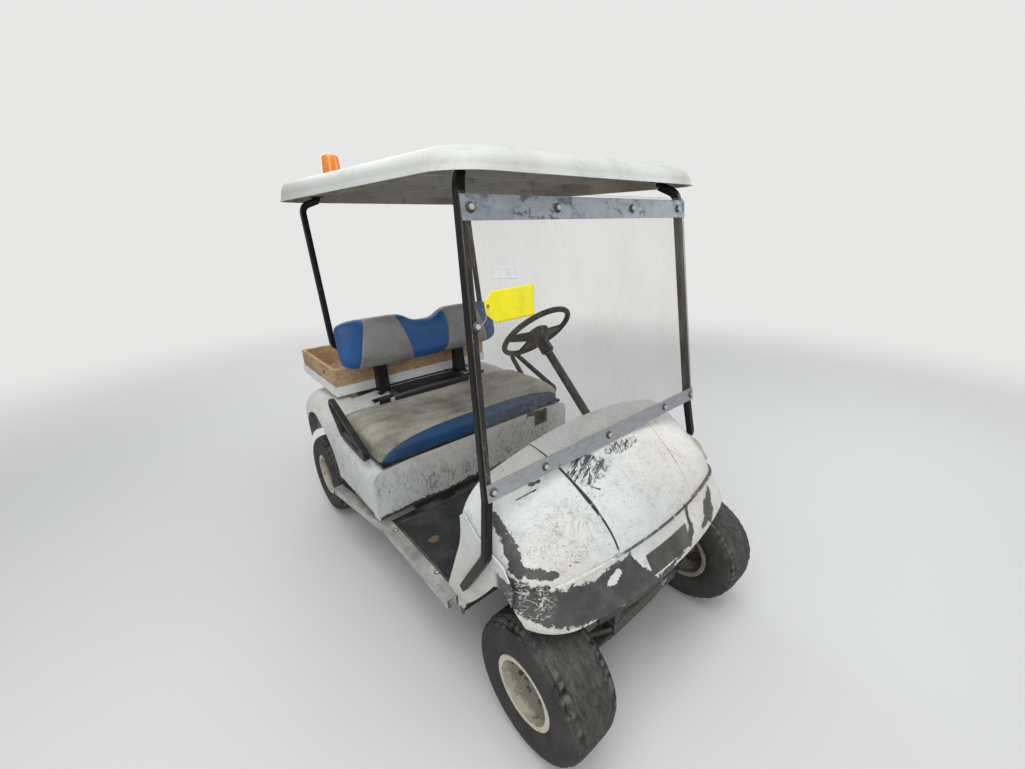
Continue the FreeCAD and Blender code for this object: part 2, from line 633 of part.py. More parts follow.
def bumpers():
    """Steel strip under the nose on two brackets, and a bar across the back."""
    y, z = -944.0, 418.0
    w = 300.0
    big = 1500.0
    drop = w * w / (2 * big)
    parts = []
    for depth, low in ((5, -30), (34, 18)):      # the strip and the flange along its top
        parts.append(prism_z((-w, y + drop), [((0, y), (w, y + drop)), (w, y + drop + depth),
                                              ((0, y + depth), (-w, y + drop + depth))], z + low, z + 22))
    for side in (-1, 1):
        x = side * RAIL_X
        parts.append(box(x - 20, x + 20, y + 26, AXLE_F - 60, z + 10, z + 18))
        parts.append(box(x - 20, x + 20, AXLE_F - 68, AXLE_F - 60, FLOOR_Z - FLOOR_T, z + 18))
    rear = [box(-430, 430, BODY_REAR + 2, BODY_REAR + 34, 330, 336),
            box(-430, 430, BODY_REAR + 28, BODY_REAR + 34, 276, 336)]
    for x in (-RAIL_X, RAIL_X):
        rear.append(box(x - 20, x + 20, BODY_REAR - 60, BODY_REAR + 34, 336, 342))
    return [fuse(parts), fuse(rear)]


# rear body

REAR = ((RISER_Y, 586.0, 612.0, 44.0), (300.0, 586.0, 638.0, 74.0), (530.0, 586.0, 702.0, 108.0),
        (830.0, 586.0, 702.0, 118.0), (1040.0, 574.0, 678.0, 118.0), (1140.0, 550.0, 652.0, 114.0),
        (BODY_REAR, 506.0, 612.0, 100.0))
REAR_CROWN = 5200.0
ARCH_R = 296.0
ARCH_Z = 306.0


def arch_wire(y, w, top, corner, inset, bottom):
    w, top, rc, big = w - inset, top - inset, corner - inset, REAR_CROWN - inset
    cc = (top - big) + math.sqrt((big - rc) ** 2 - (w - rc) ** 2)
    lean = math.atan2(w - rc, cc - (top - big))
    tx, tz = big * math.sin(lean), top - big + big * math.cos(lean)
    half = (lean + math.pi / 2) / 2
    mx, mz = w - rc + rc * math.sin(half), cc + rc * math.cos(half)
    return outline((-w, bottom), [(-w, cc), ((-mx, mz), (-tx, tz)), ((0, top), (tx, tz)),
                                  ((mx, mz), (w, cc)), (w, bottom)], lambda x, z: V(x, y, z))


def rear_loft(inset, bottom):
    ends = {0: inset, len(REAR) - 1: -inset}
    return Part.makeLoft([arch_wire(y + ends.get(k, 0), w, top, c, inset, bottom)
                          for k, (y, w, top, c) in enumerate(REAR)], True, False)


WELL = (420.0, 680.0, 1150.0, 470.0)     # half width, front, back and floor of the load well


TRAY = (206.0, 560.0, 666.0, 668.0)      # the same of the shallow tray between the backrest's uprights


def rear_body():
    """Seat riser, fenders and the deck in one moulding, with the seat's pocket, a tray and the load well."""
    low = ROCKER_Z + 0.3
    outer = rear_loft(0, low)
    inner = rear_loft(WALL, low - 20)
    shell = outer.cut(inner)
    px, py0, py1 = SEAT_W / 2 + 7, RISER_Y - 5, RISER_Y + SEAT_D + 1
    pocket = box(-px, px, py0, py1, RISER_Z, 900)
    pocket_wall = box(-px - WALL, px + WALL, RISER_Y, py1 + WALL, RISER_Z - WALL, 900).common(outer)
    wx, wy0, wy1, wz = WELL
    well = box(-wx, wx, wy0, wy1, wz, 900)
    well_wall = box(-wx - WALL, wx + WALL, wy0 - WALL, wy1 + WALL, wz - WALL, 900).common(outer)
    tx, ty0, ty1, tz = TRAY
    tray = box(-tx, tx, ty0, ty1, tz, 900)
    tray_wall = box(-tx - WALL, tx + WALL, ty0 - WALL, ty1 + WALL, tz - WALL, 900).common(outer)
    body = fuse([shell, pocket_wall, well_wall, tray_wall])
    trim = [pocket, well, tray, box(-410, 410, RISER_Y + 34, RISER_Y + 416, RISER_Z - 60, RISER_Z + 20)]
    for side in (-1, 1):
        a, b = sorted((side * 440.0, side * 640.0))
        trim.append(rod(V(a, AXLE_R, ARCH_Z), V(b, AXLE_R, ARCH_Z), ARCH_R))
        trim.append(box(a, b, AXLE_R - ARCH_R, AXLE_R + ARCH_R, 250, ARCH_Z))
    x0, x1, z0, z1 = RECEPTACLE
    trim.append(box(x0, x1, RISER_Y - 2, RISER_Y + 8, z0, z1))
    return [body.cut(fuse(trim))]


RECEPTACLE = (346.0, 424.0, 512.0, 584.0)


def receptacle():
    """Dark socket housing in the riser's front, with its open mouth."""
    x0, x1, z0, z1 = RECEPTACLE
    g = 0.3
    case = box(x0 + g, x1 - g, RISER_Y - 3, RISER_Y + 46, z0 + g, z1 - g)
    mouth = box(x0 + 8, x1 - 8, RISER_Y - 4, RISER_Y + 30, z0 + 8, z1 - 8)
    rim_plate = box(x0 - 6, x1 + 6, RISER_Y - 3.3, RISER_Y - 0.3, z0 - 6, z1 + 6)
    return [fuse([case, rim_plate]).cut(mouth)]


def tail_lamps():
    out = []
    for side in (-1, 1):
        x = side * 430
        base = box(x - 50, x + 50, BODY_REAR + 0.3, BODY_REAR + 8, 404, 474)
        rings = []
        for a, b, y in ((46, 31, BODY_REAR + 8), (38, 24, BODY_REAR + 26)):
            corners = ((-a, -b), (a, -b), (a, b), (-a, b), (-a, -b))
            rings.append(Part.makePolygon([V(x + u, y, 439 + v) for u, v in corners]))
        lens = Part.makeLoft(rings, True, True)
        out.append(fuse([base, lens]))
    return out


# seat

HINGE_X = 300.0
HINGE_W = 60.0          # the moving leaf
HINGE_Y = RISER_Y + SEAT_D + 8.0
HINGE_Z = 707.0
HINGE_R = 7.0
HINGE_PIN = 3.0
DECK_RISE = 4.0         # thickness of the fixed leaf on the deck


BOARD_IN = 14.0         # the board lies so far inside the cushion's lip


def seat_board_box(clear, back):
    """The board's own slab, or the room for it under the cushion."""
    w, z = SEAT_W / 2 - BOARD_IN + clear, RISER_Z + 0.3
    return box(-w, w, SEAT_FRONT + BOARD_IN - clear, back, z - clear, z + SEAT_BOARD_T + clear)


def seat_board():
    """Board under the cushion, with two hinge leaves that reach up behind the cushion to their pins."""
    z = RISER_Z + 0.3
    y1 = RISER_Y + SEAT_D - 12
    back = RISER_Y + SEAT_D - 7.7
    parts = [seat_board_box(0.0, y1)]
    holes = []
    for side in (-1, 1):
        a, b = side * HINGE_X - HINGE_W / 2, side * HINGE_X + HINGE_W / 2
        parts.append(box(a, b, y1 - 5, back + 3, z, z + SEAT_BOARD_T))
        parts.append(box(a, b, back, back + 3, z, HINGE_Z + 1.5))
        parts.append(box(a, b, back, HINGE_Y, HINGE_Z - 1.5, HINGE_Z + 1.5))
        parts.append(rod(V(a, HINGE_Y, HINGE_Z), V(b, HINGE_Y, HINGE_Z), HINGE_R))
        holes.append(rod(V(a - 5, HINGE_Y, HINGE_Z), V(b + 5, HINGE_Y, HINGE_Z), HINGE_PIN + 0.5))
    return [fuse(parts).cut(fuse(holes))]


def hinge_leaf(side):
    """Fixed leaf on the deck with its two knuckles and the pin."""
    x, h = side * HINGE_X, HINGE_W / 2 + 1
    skin = rear_loft(-0.3 - DECK_RISE, 300.0)
    plate_y = HINGE_Y + HINGE_R + 1.5
    parts = [box(x - h - 24, x + h + 24, plate_y, plate_y + 26, HINGE_Z - 90, HINGE_Z).common(skin)]
    for a, b in ((x - h - 24, x - h), (x + h, x + h + 24)):
        parts.append(rod(V(a, HINGE_Y, HINGE_Z), V(b, HINGE_Y, HINGE_Z), HINGE_R))
        parts.append(box(a, b, HINGE_Y, plate_y + 4, HINGE_Z - 40, HINGE_Z))
    parts.append(rod(V(x - h - 20, HINGE_Y, HINGE_Z), V(x + h + 20, HINGE_Y, HINGE_Z), HINGE_PIN))
    return fuse(parts).cut(rear_loft(-0.3, 300.0))


def seat_cushion():
    """Bench cushion that wraps the board's front and ends, with round corners in plan."""
    z0 = RISER_Z + 0.6
    y0, y1 = SEAT_FRONT, RISER_Y + SEAT_D - 8
    h, w = SEAT_T + SEAT_BOARD_T, SEAT_W / 2
    core = prism_x((y0 + 8, z0), [(y1, z0), (y1, z0 + h - 26), ((y1 - 9, z0 + h - 8), (y1 - 34, z0 + h)),
                                  (y0 + 120, z0 + h - 4), ((y0 + 26, z0 + h - 24), (y0, z0 + 42)),
                                  (y0, z0 + 10), ((y0 + 2, z0 + 2), (y0 + 8, z0))], -w, w)
    front, rear = 56.0, 24.0        # the plan's corners
    low, far = y0 - 1, y1 + 1
    p, q = front * (1 - math.sqrt(0.5)), rear * (1 - math.sqrt(0.5))
    plan = prism_z((-w + front, low), [(w - front, low), ((w - p, low + p), (w, low + front)),
                                       (w, far - rear), ((w - q, far - q), (w - rear, far)),
                                       (-w + rear, far), ((-w + q, far - q), (-w, far - rear)),
                                       (-w, low + front), ((-w + p, low + p), (-w + front, low))],
                   z0 - 5, z0 + h + 5)
    return [core.common(plan).cut(seat_board_box(0.3, y1 + 20))]


def seat_back():
    """The bolster: a rounded bar with a dip in the middle of its top edge."""
    h, t, w = BACK_H / 2, BACK_T / 2, BACK_W / 2

    def ring(x, kh, kt, dip=0.0):
        b, d = h * kh, t * kt
        top, m = b - dip, 1 - math.sqrt(0.5)
        p, q, r = 46 * kt, 54 * kt, 34 * kt

        def put(a, c):
            return V(x, BACK_Y + a + BACK_LEAN * c, BACK_Z + c)
        return outline((-d + r, -b), [(d - p, -b), ((d - m * p, -b + m * p), (d, -b + p)), (d, top - p),
                                      ((d - m * p, top - m * p), (d - p, top)), (-d + q, top),
                                      ((-d + m * q, top - m * q), (-d, top - q)), (-d, -b + r),
                                      ((-d + m * r, -b + m * r), (-d + r, -b))], put)
    end = ((0, 0.42, 0.4, 0), (22, 0.8, 0.76, 0), (62, 0.96, 0.95, 0), (110, 1, 1, 0))
    dips = ((-210, 0), (-145, 3), (-85, 28), (0, 42), (85, 28), (145, 3), (210, 0))
    middle = tuple((x, 1, 1, dip) for x, dip in dips)
    xs = tuple((-w + a, b, c, d) for a, b, c, d in end) + middle + tuple(
        (w - a, b, c, d) for a, b, c, d in end[::-1])
    return [Part.makeLoft([ring(*row) for row in xs], True, False)]


BRACKET_X = 250.0
BRACKET_W = 58.0


def seat_back_frame():
    """Backing board behind the bolster and two uprights with gussets, bolted to the deck."""
    y0 = BACK_Y + BACK_T / 2 + 0.8
    z0, z1, zk = BACK_Z - 92, BACK_Z + 52, BACK_Z - BACK_H / 2 - 12

    def at(z, extra=0.0):
        return (y0 + BACK_LEAN * (z - BACK_Z) + extra, z)
    w = BACK_W / 2 - 70
    parts = [prism_x(at(z0), [at(z0, 8), at(z1, 8), at(z1)], -w, w)]
    foot = REAR[3][2] - 40
    for side in (-1, 1):
        x = side * BRACKET_X
        h = BRACKET_W / 2
        plate = prism_x((y0 - 46, foot), [(y0 - 41, foot), at(zk, 13), at(z1 - 20, 13),
                                          at(z1 - 20, 7), at(zk, 7)], x - h, x + h)
        gusset = prism_x((y0 - 46, foot), [(y0 + 22, foot), (y0 + 22, REAR[3][2] + 30), at(z0 + 20, 34),
                                           at(z1 - 40, 22), at(z1 - 40, 7), at(zk, 7)], x - 2.5, x + 2.5)
        pad = box(x - h - 14, x + h + 14, y0 - 60, y0 - 12, foot, REAR[3][2] + 4)
        for g in (-h + 2.5, h - 2.5):
            parts.append(gusset.translated(V(g, 0, 0)))
        parts += [plate, pad]
    return [fuse(parts).cut(rear_loft(-0.3, 300.0)), hinge_leaf(-1), hinge_leaf(1)]


LOOP_R = 13.0
LOOP = ((148.0, 626.0), (412.0, 640.0), (588.0, 822.0), (150.0, 650.0))   # y and z along the loop's bar


def hip_restraints():
    """Bar bent into a slender open loop beside each end of the seat, standing on the body's shoulder."""
    x = SEAT_W / 2 + 7 + LOOP_R
    bar = square_tube([V(x, y, z) for y, z in LOOP], 24.0, 2 * LOOP_R, LOOP_R - 4, 1, X)
    (ya, za), (yb, zb) = LOOP[0], LOOP[-1]
    joint = prism_x((ya - 4, za - LOOP_R), [(ya + 40, za - LOOP_R), (yb + 44, zb + LOOP_R + 2), (yb, zb + LOOP_R),
                                            ((yb - 14, (za + zb) / 2), (ya - 4, za - LOOP_R))],
                    x - LOOP_R, x + LOOP_R)
    yw, zw = LOOP[1]
    web = prism_x((ya + 30, za - 30), [(yw, zw - 30), (yw, zw), (ya + 30, za)], x - 5, x + 5)
    trim = rear_loft(-0.3, 300.0)
    return [p.cut(trim) for p in both(fuse([bar, joint, web]))]


# canopy, struts, windshield

def rounded(w, l, r, z, yc=0.0, pitch=0.0):
    """A rectangle with round corners in plan, centred on (0, yc), rising to the rear by its pitch."""
    a, b, k = w / 2, l / 2, r * (1 - math.sqrt(0.5))
    return outline((-a, -b + r), [(-a, b - r), ((-a + k, b - k), (-a + r, b)), (a - r, b),
                                  ((a - k, b - k), (a, b - r)), (a, -b + r), ((a - k, -b + k), (a - r, -b)),
                                  (-a + r, -b), ((-a + k, -b + k), (-a, -b + r))],
                   lambda x, y: V(x, y + yc, z + pitch * y))


# inset in plan, share of the height at the front and at the rear, corner radius
ROOF = ((0.0, 0.0, 0.0, 120.0), (6.0, 0.16, 0.26, 118.0), (26.0, 0.50, 0.80, 112.0), (74.0, 0.70, 0.94, 96.0),
        (228.0, 1.0, 1.0, 60.0))


def roof_solid(inset, z0):
    rows = [(0.0, z0, ROOF[0][3] - inset, 0.0)]
    for a, front, rear, c in ROOF[1:]:
        drop = inset if a > ROOF[1][0] else inset * 0.6
        rows.append((a, ROOF_Z + ROOF_H * (front + rear) / 2 - drop, c, ROOF_H * (rear - front) / ROOF_L))
    wires = []
    for a, z, c, pitch in rows:
        less = 2 * (inset + a)
        wires.append(rounded(ROOF_W - less, ROOF_L - less, max(c - inset * 0.5, 20.0), z, ROOF_Y, pitch))
    low = Part.makeLoft(wires[:2], True, True)
    high = Part.makeLoft(wires[1:], True, False)
    return fuse([low, high])


def canopy():
    """Moulded roof: a hollow shell with ribs on its underside and a drip edge."""
    outer = roof_solid(0.0, ROOF_Z)
    inner = roof_solid(ROOF_WALL, ROOF_Z - 5)
    shell = outer.cut(inner)
    ribs = []
    for y in (-560.0, -250.0, 60.0, 370.0, 680.0):
        ribs.append(box(-ROOF_W, ROOF_W, y - 4, y + 4, ROOF_Z + 26, ROOF_Z + 90))
    for x in (-330.0, 0.0, 330.0):
        ribs.append(box(x - 4, x + 4, ROOF_Y - ROOF_L, ROOF_Y + ROOF_L, ROOF_Z + 34, ROOF_Z + 90))
    seat_z = ROOF_Z + STRUT_TOP + 0.3       # a block over the end of each strut
    for x, y, _ in strut_tops():
        for side in (-1, 1):
            ribs.append(box(side * x - 26, side * x + 26, y - 30, y + 30, seat_z, ROOF_Z + 90))
    ribs = fuse(ribs).common(roof_solid(ROOF_WALL - 1, ROOF_Z - 5))
    return [fuse([shell, ribs])]


def shield_dir():
    return V(0, SHIELD_TOP_Y - SHIELD_LOW_Y, SHIELD_TOP_Z - SHIELD_LOW_Z).normalize()


def shield_normal():
    """Square to the windshield, forwards."""
    d = shield_dir()
    return V(0, -d.z, d.y)


def shield_point(x, z, back):
    """On the windshield's slope at height z, so far behind the face of the bars."""
    d = shield_dir()
    base = V(x, SHIELD_LOW_Y + d.y / d.z * (z - SHIELD_LOW_Z), z)
    return base - shield_normal() * back


def shield_half(z):
    k = (z - SHIELD_LOW_Z) / (SHIELD_TOP_Z - SHIELD_LOW_Z)
    return SHIELD_LOW_X + (SHIELD_TOP_X - SHIELD_LOW_X) * k


STRUT_BACK = BAR_T + SHIELD_T + 0.9 + STRUT / 2
STRUT_TOP = 20.0        # struts end so far above the roof's lower edge
REAR_STRUT_X = 467.0


def front_strut_points():
    half = STRUT / 2
    top_z = ROOF_Z - 22
    up = shield_point(-shield_half(top_z) + half, top_z, STRUT_BACK)
    low = shield_point(-shield_half(840) + half - 2, 840, STRUT_BACK)
    foot = V(-COWL_W / 2 - half - 1.2, COWL_Y - 14, 462)
    elbow = shield_point(foot.x, 676, STRUT_BACK)
    return [foot, elbow, low, up, V(up.x + 40, up.y + 50, ROOF_Z + 4)]


def rear_strut_points():
    x = -REAR_STRUT_X
    y = BACK_Y + BACK_T / 2 + STRUT / 2 + 14
    end = -BRACKET_X - BRACKET_W / 2 - 0.3
    return [V(end, y + 6, BACK_Z - 107), V(x, y, BACK_Z - 2), V(x, y + 106, ROOF_Z - 22),
            V(x + 62, y + 60, ROOF_Z + 4)]


def strut_tops():
    return [front_strut_points()[-1], rear_strut_points()[-1]]


def strut(points, radius):
    """A bent square tube with a flat flange under the roof."""
    tube = square_tube(points, radius, STRUT, STRUT_R, len(points) - 3)
    x, y, z = points[-1]
    flange = box(x - 24, x + 24, y - 28, y + 28, ROOF_Z + STRUT_TOP - 6, ROOF_Z + STRUT_TOP)
    neck = rod(V(x, y, z - 4), V(x, y, ROOF_Z + STRUT_TOP), STRUT / 2)
    return fuse([tube, neck, flange])


def front_struts():
    return both(strut(front_strut_points(), 44.0))


def rear_struts():
    end = BRACKET_X + BRACKET_W / 2 + 0.3
    return both(strut(rear_strut_points(), 40.0).cut(box(-end, end, 0, 900, 600, 1300)))


def windshield():
    """One clear sheet between the two bars."""
    z0, z1 = SHIELD_LOW_Z - LOW_BAR_H + 6, SHIELD_TOP_Z + 8
    pts = []
    for z in (z0, z1):
        for s in (-1, 1):
            pts.append(shield_point(s * (shield_half(z) - 3), z, BAR_T + 0.2))
    a, b, d, c = pts
    face = Part.Face(Part.makePolygon([a, b, c, d, a]))
    return [face.extrude(shield_normal() * -SHIELD_T)]


def clamp_bar(z_top, height, bolts, radius):
    d, n = shield_dir(), shield_normal()
    half = shield_half(z_top)
    p = [shield_point(s * half, z_top, 0) for s in (-1, 1)]
    q = [v - d * height for v in p]
    bar = Part.Face(Part.makePolygon([p[0], p[1], q[1], q[0], p[0]])).extrude(n * -BAR_T)
    heads = []
    for k in bolts:
        spot = shield_point(half * k, z_top, 0) - d * (height / 2)
        heads.append(Part.makeCone(radius, radius * 0.6, 4.0, spot, n))
    return [fuse([bar] + heads)]


TOP_BOLTS = (-0.95, -0.36, 0.34, 0.9)
LOW_BOLTS = (-0.965, -0.6, -0.04, 0.6, 0.965)


# steering

def column_dir():
    a = math.radians(COLUMN_TILT)
    return V(0, -math.cos(a), -math.sin(a))


def steering_column():
    """Tube from below the wheel down through the toe board to the steering box on the frame."""
    hub, d = V(WHEEL_X, WHEEL_Y, WHEEL_Z), column_dir()
    start = hub + d * 46
    length = (WHEEL_Y + 610) / math.cos(math.radians(COLUMN_TILT))
    end = hub + d * length
    tube = rod(start, end, COLUMN_R)
    z = FLOOR_Z - FLOOR_T
    gear = rod(V(PITMAN_X, AXLE_F, z), V(PITMAN_X, AXLE_F, z + 74), 36)
    gear = fuse([gear, rod(V(PITMAN_X, AXLE_F, z), V(PITMAN_X, AXLE_F, z + 10), 48)]).cut(
        rod(V(PITMAN_X, AXLE_F, z), V(PITMAN_X, AXLE_F, z + 14), PIN_R + PIN_GAP))
    into = V(PITMAN_X + 8, AXLE_F + 10, z + 44)
    link = fuse([rod(end - d * 10, into, 8.0), Part.makeSphere(COLUMN_R, end), gear])
    collar = turned([(0, COLUMN_R + 0.2), (0, 31), (38, 31), ((52, 29), (58, COLUMN_R)), (58, 0), (0, 0)], start, d)
    shaft = rod(hub + d * 12, start, 9)
    return [fuse([tube, collar, shaft, link])]


def steering_wheel():
    """Rim, three spokes and a hub with a domed blank cap."""
    hub, d = V(WHEEL_X, WHEEL_Y, WHEEL_Z), column_dir()
    ring = Part.makeTorus(WHEEL_R, WHEEL_GRIP, hub - d * 14, d)
    boss = turned([(-24, 0), (-24, 26), ((-20, 48), (-10, 60)), (8, 56), (40, 26), (40, 10), (10, 10), (10, 0)],
                  hub, d)
    u = X
    w = d.cross(u)
    spokes = []
    for deg in (0, 180, 270):
        a = math.radians(deg)
        out = u * math.cos(a) + w * math.sin(a)
        across = d.cross(out)
        end = hub - d * 12 + out * (WHEEL_R - 4)
        base = hub + d * 2 + out * 30
        wires = []
        for p, h, t in ((base, 36, 6), (end, 21, 5)):
            wires.append(Part.makePolygon([p + across * h - d * t, p - across * h - d * t,
                                           p - across * h + d * t, p + across * h + d * t,
                                           p + across * h - d * t]))
        spokes.append(Part.makeLoft(wires, True, True))
    return [fuse([ring, boss] + spokes)]


def pedals():
    """Brake and accelerator treadles on short arms from the toe board."""
    e = V(0, TOE[1] - TOE[0], TOE[2] - FLOOR_Z).normalize()
    n = V(0, e.z, -e.y)
    foot = V(0, TOE[0], FLOOR_Z)

    def block(x, half, s0, s1, n0, n1):
        corner = [foot + X * (x - half) + e * a + n * b for a, b in ((s0, n0), (s1, n0), (s1, n1), (s0, n1))]
        return Part.Face(Part.makePolygon(corner + corner[:1])).extrude(X * (2 * half))
    out = []
    for x, width, low, high in ((96.0, 96.0, 70.0, 150.0), (192.0, 58.0, 50.0, 150.0)):
        out.append(fuse([block(x, width / 2, low, high, 44, 52), block(x, 8, high - 44, high - 28, 0.3, 46)]))
    return out


# beacon

BEACON = (-327.0, 723.0, 42.0)
BEACON_RISE = 38.0      # height of its black foot


def roof_height(x, y):
    """Height of the roof's top at a place well inside its edge."""
    line = rod(V(x, y, ROOF_Z), V(x, y, ROOF_Z + 300), 0.5)
    return max(v.Z for v in roof_solid(0.0, ROOF_Z).common(line).Vertexes)


def beacon_base():
    x, y, r = BEACON
    z = roof_height(x, y)
    foot = rod(V(x, y, z - 30), V(x, y, z + BEACON_RISE - 8), r).cut(roof_solid(-0.6, ROOF_Z))
    return [fuse([foot, rod(V(x, y, z + BEACON_RISE - 9), V(x, y, z + BEACON_RISE), r - 8)])]


def beacon_lens():
    x, y, r = BEACON
    z = roof_height(x, y) + BEACON_RISE + 0.2
    return [turned([(0, 0), (0, r - 3), (6, r), (84, r - 5), ((94, r - 9), (98, r - 18)), (102, 0)],
                   V(x, y, z), Z)]


# cargo box

def cargo_box():
    w, l, h = BOX_W / 2, BOX_L / 2, BOX_H
    z0, z1, y = BOX_TOP - BOX_H, BOX_TOP, BOX_Y
    shell = box(-w, w, y - l, y + l, z0, z1).cut(
        box(-w + BOARD, w - BOARD, y - l + BOARD, y + l - BOARD, z0 + BOARD, z1 + 5))
    slots = [box(-w - 5, w + 5, y - 52, y + 52, z0 + 30, z0 + 58)]
    return [shell.cut(fuse(slots))]


def cargo_frame():
    """Angle-steel tray frame round the box and its four legs down into the load well."""
    w, l, a, t = BOX_W / 2 + 0.3, BOX_L / 2 + 0.3, ANGLE, ANGLE_T
    z0, y = BOX_TOP - BOX_H - 0.3, BOX_Y
    out = box(-w - t, w + t, y - l - t, y + l + t, z0 - t, z0 - t + a)
    hollow = box(-w, w, y - l, y + l, z0, z0 + a + 5)
    open_low = box(-w + a, w - a, y - l + a, y + l - a, z0 - t - 5, z0 + 5)
    parts = [out.cut(fuse([hollow, open_low]))]
    leg, foot = WELL[0] - 8, WELL[3] + 0.3
    for sx in (-1, 1):
        for yy in (y - l + 50, WELL[2] - a - 6):
            x0, x1 = sorted((sx * (leg - t), sx * leg))
            parts.append(box(x0, x1, yy, yy + a, foot, z0 - t))
            x0, x1 = sorted((sx * (leg - a), sx * leg))
            parts.append(box(x0, x1, yy, yy + t, foot, z0 - t))
            parts.append(box(x0, x1, yy, yy + a, foot, foot + t))
            x0, x1 = sorted((sx * (leg - a), sx * (w + t)))
            parts.append(box(x0, x1, yy, yy + a, z0 - t - t, z0 - t))
    return [fuse(parts)]


NODES = {
    "chassis_frame": chassis_frame,
    "front_suspension": front_suspension,
    "right_knuckle": lambda: knuckle(-1),
    "left_knuckle": lambda: knuckle(1),
    "tie_rod": tie_rod,
    "pitman_arm": pitman_arm,
    "rear_axle": rear_axle,
    "rear_suspension": rear_suspension,
    "battery_pack": battery_pack,
    "floorboard": floorboard,
    "floor_mat": floor_mat,
    "rocker_panels": lambda: rocker(-1) + rocker(1),
    "front_cowl": front_cowl,
    "nose_plate": nose_plate,
    "dash_panel": dash_panel,
    "bumpers": bumpers,
    "rear_body": rear_body,
    "receptacle": receptacle,
    "tail_lamps": tail_lamps,
    "seat_board": seat_board,
    "seat_cushion": seat_cushion,
    "seat_back": seat_back,
    "seat_back_frame": seat_back_frame,
    "hip_restraints": hip_restraints,
    "canopy": canopy,
    "front_struts": front_struts,
    "rear_struts": rear_struts,
    "windshield": windshield,
    "upper_clamp_bar": lambda: clamp_bar(SHIELD_TOP_Z, TOP_BAR_H, TOP_BOLTS, 10.0),
    "lower_clamp_bar": lambda: clamp_bar(SHIELD_LOW_Z, LOW_BAR_H, LOW_BOLTS, 9.0),
    "steering_column": steering_column,
    "steering_wheel": steering_wheel,
    "pedals": pedals,
    "beacon_base": beacon_base,
    "beacon_lens": beacon_lens,
    "cargo_box": cargo_box,
    "cargo_frame": cargo_frame,
}


def main():
    os.makedirs("parts", exist_ok=True)
    shapes = {name: make() for name, make in NODES.items()}
    shapes.update(wheel_nodes())
    whole = Part.makeCompound([s for name in ("rocker_panels", "cargo_frame", "rear_left_tyre", "front_left_tyre")
                               for s in shapes[name]])
    b = whole.optimalBoundingBox(False, False)
    shift = V(-(b.XMin + b.XMax) / 2, -(b.YMin + b.YMax) / 2, 0)
    for name, group in shapes.items():
        shape = Part.makeCompound(group) if len(group) > 1 else group[0]
        if not shape.isValid():
            print("not valid:", name)
        shape.translated(shift).exportStep("parts/%s.step" % name)
    print("shift", shift, "box", b)


main()
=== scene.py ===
# %% [markdown]
# # A worn two-seat golf cart
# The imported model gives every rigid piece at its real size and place. This notebook dresses it: each piece
# gets its finish, the soft pieces are padded and stitched, and the small things that a frame model leaves
# out, such as bolts and worn tread, are made from arrays. Everything is in metres, in the model's own frame.

# %% Frame and places
import functools
import json
import math

import bmesh
import bpy
import numpy as np
from mathutils import Matrix, Vector


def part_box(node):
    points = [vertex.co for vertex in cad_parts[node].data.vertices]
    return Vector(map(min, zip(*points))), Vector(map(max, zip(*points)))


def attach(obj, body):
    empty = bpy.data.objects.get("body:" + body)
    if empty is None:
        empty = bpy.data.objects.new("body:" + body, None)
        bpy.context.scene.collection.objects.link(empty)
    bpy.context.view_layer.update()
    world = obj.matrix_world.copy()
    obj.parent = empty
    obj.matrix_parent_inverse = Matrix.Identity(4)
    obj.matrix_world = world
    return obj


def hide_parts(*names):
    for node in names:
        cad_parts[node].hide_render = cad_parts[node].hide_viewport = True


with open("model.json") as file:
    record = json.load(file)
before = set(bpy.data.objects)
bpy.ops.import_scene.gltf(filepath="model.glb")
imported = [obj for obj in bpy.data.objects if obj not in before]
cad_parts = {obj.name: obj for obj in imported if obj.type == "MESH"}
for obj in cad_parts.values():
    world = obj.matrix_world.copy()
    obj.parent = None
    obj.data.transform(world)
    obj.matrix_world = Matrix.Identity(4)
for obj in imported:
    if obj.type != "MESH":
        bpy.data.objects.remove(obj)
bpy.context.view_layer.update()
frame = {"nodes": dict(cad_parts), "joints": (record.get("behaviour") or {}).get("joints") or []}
NODES = frame["nodes"]
HUBS = {j["child"]: np.array(j["pos_m"]) for j in frame["joints"] if j["child"].endswith("_wheel")}
MIDDLE = np.mean(list(HUBS.values()), axis=0) * (1, 1, 0)


def at(x, y, z):
    """Millimetres from the middle of the wheelbase, on the floor, as points of the frame in metres."""
    return MIDDLE + np.stack(np.broadcast_arrays(x, y, z), -1) / 1000


print("middle of the wheelbase", MIDDLE.round(4), "nodes", len(NODES))

# %% [markdown]
# ## Maths on shader sockets
# A finish is a sum of masks: chips, scratches, dust and stains, each a noise that is stretched, cut at a level and
# multiplied by where it may appear. Written as nodes by hand that is hard to read, so a small class wraps a
# socket and lets Python's own operators add the Math nodes.

# %% Sockets


def math_node(operation, swap=False):
    """A method that adds one Math node on the socket and what it meets, or the other way round."""
    def method(self, *others):
        values = (*others, self) if swap else (self, *others)
        return self.finish.node("ShaderNodeMath", {"operation": operation}, dict(enumerate(values)))
    return method


class Socket:
    """One output of a node; arithmetic on it adds Math nodes to the same finish."""

    def __init__(self, finish, out):
        self.finish, self.out = finish, out

    __add__ = __radd__ = math_node("ADD")
    __mul__ = __rmul__ = math_node("MULTIPLY")
    __sub__, __rsub__ = math_node("SUBTRACT"), math_node("SUBTRACT", swap=True)
    __truediv__, __pow__, __abs__ = math_node("DIVIDE"), math_node("POWER"), math_node("ABSOLUTE")
    most, least, sine = math_node("MAXIMUM"), math_node("MINIMUM"), math_node("SINE")

    def rise(self, low, high):
        """0 below low, 1 above high, and a smooth step between; low above high falls instead."""
        out = self.finish.node("ShaderNodeMapRange", {"interpolation_type": "SMOOTHSTEP"},
                               {0: self, 1: min(low, high), 2: max(low, high)})
        return 1 - out if low > high else out


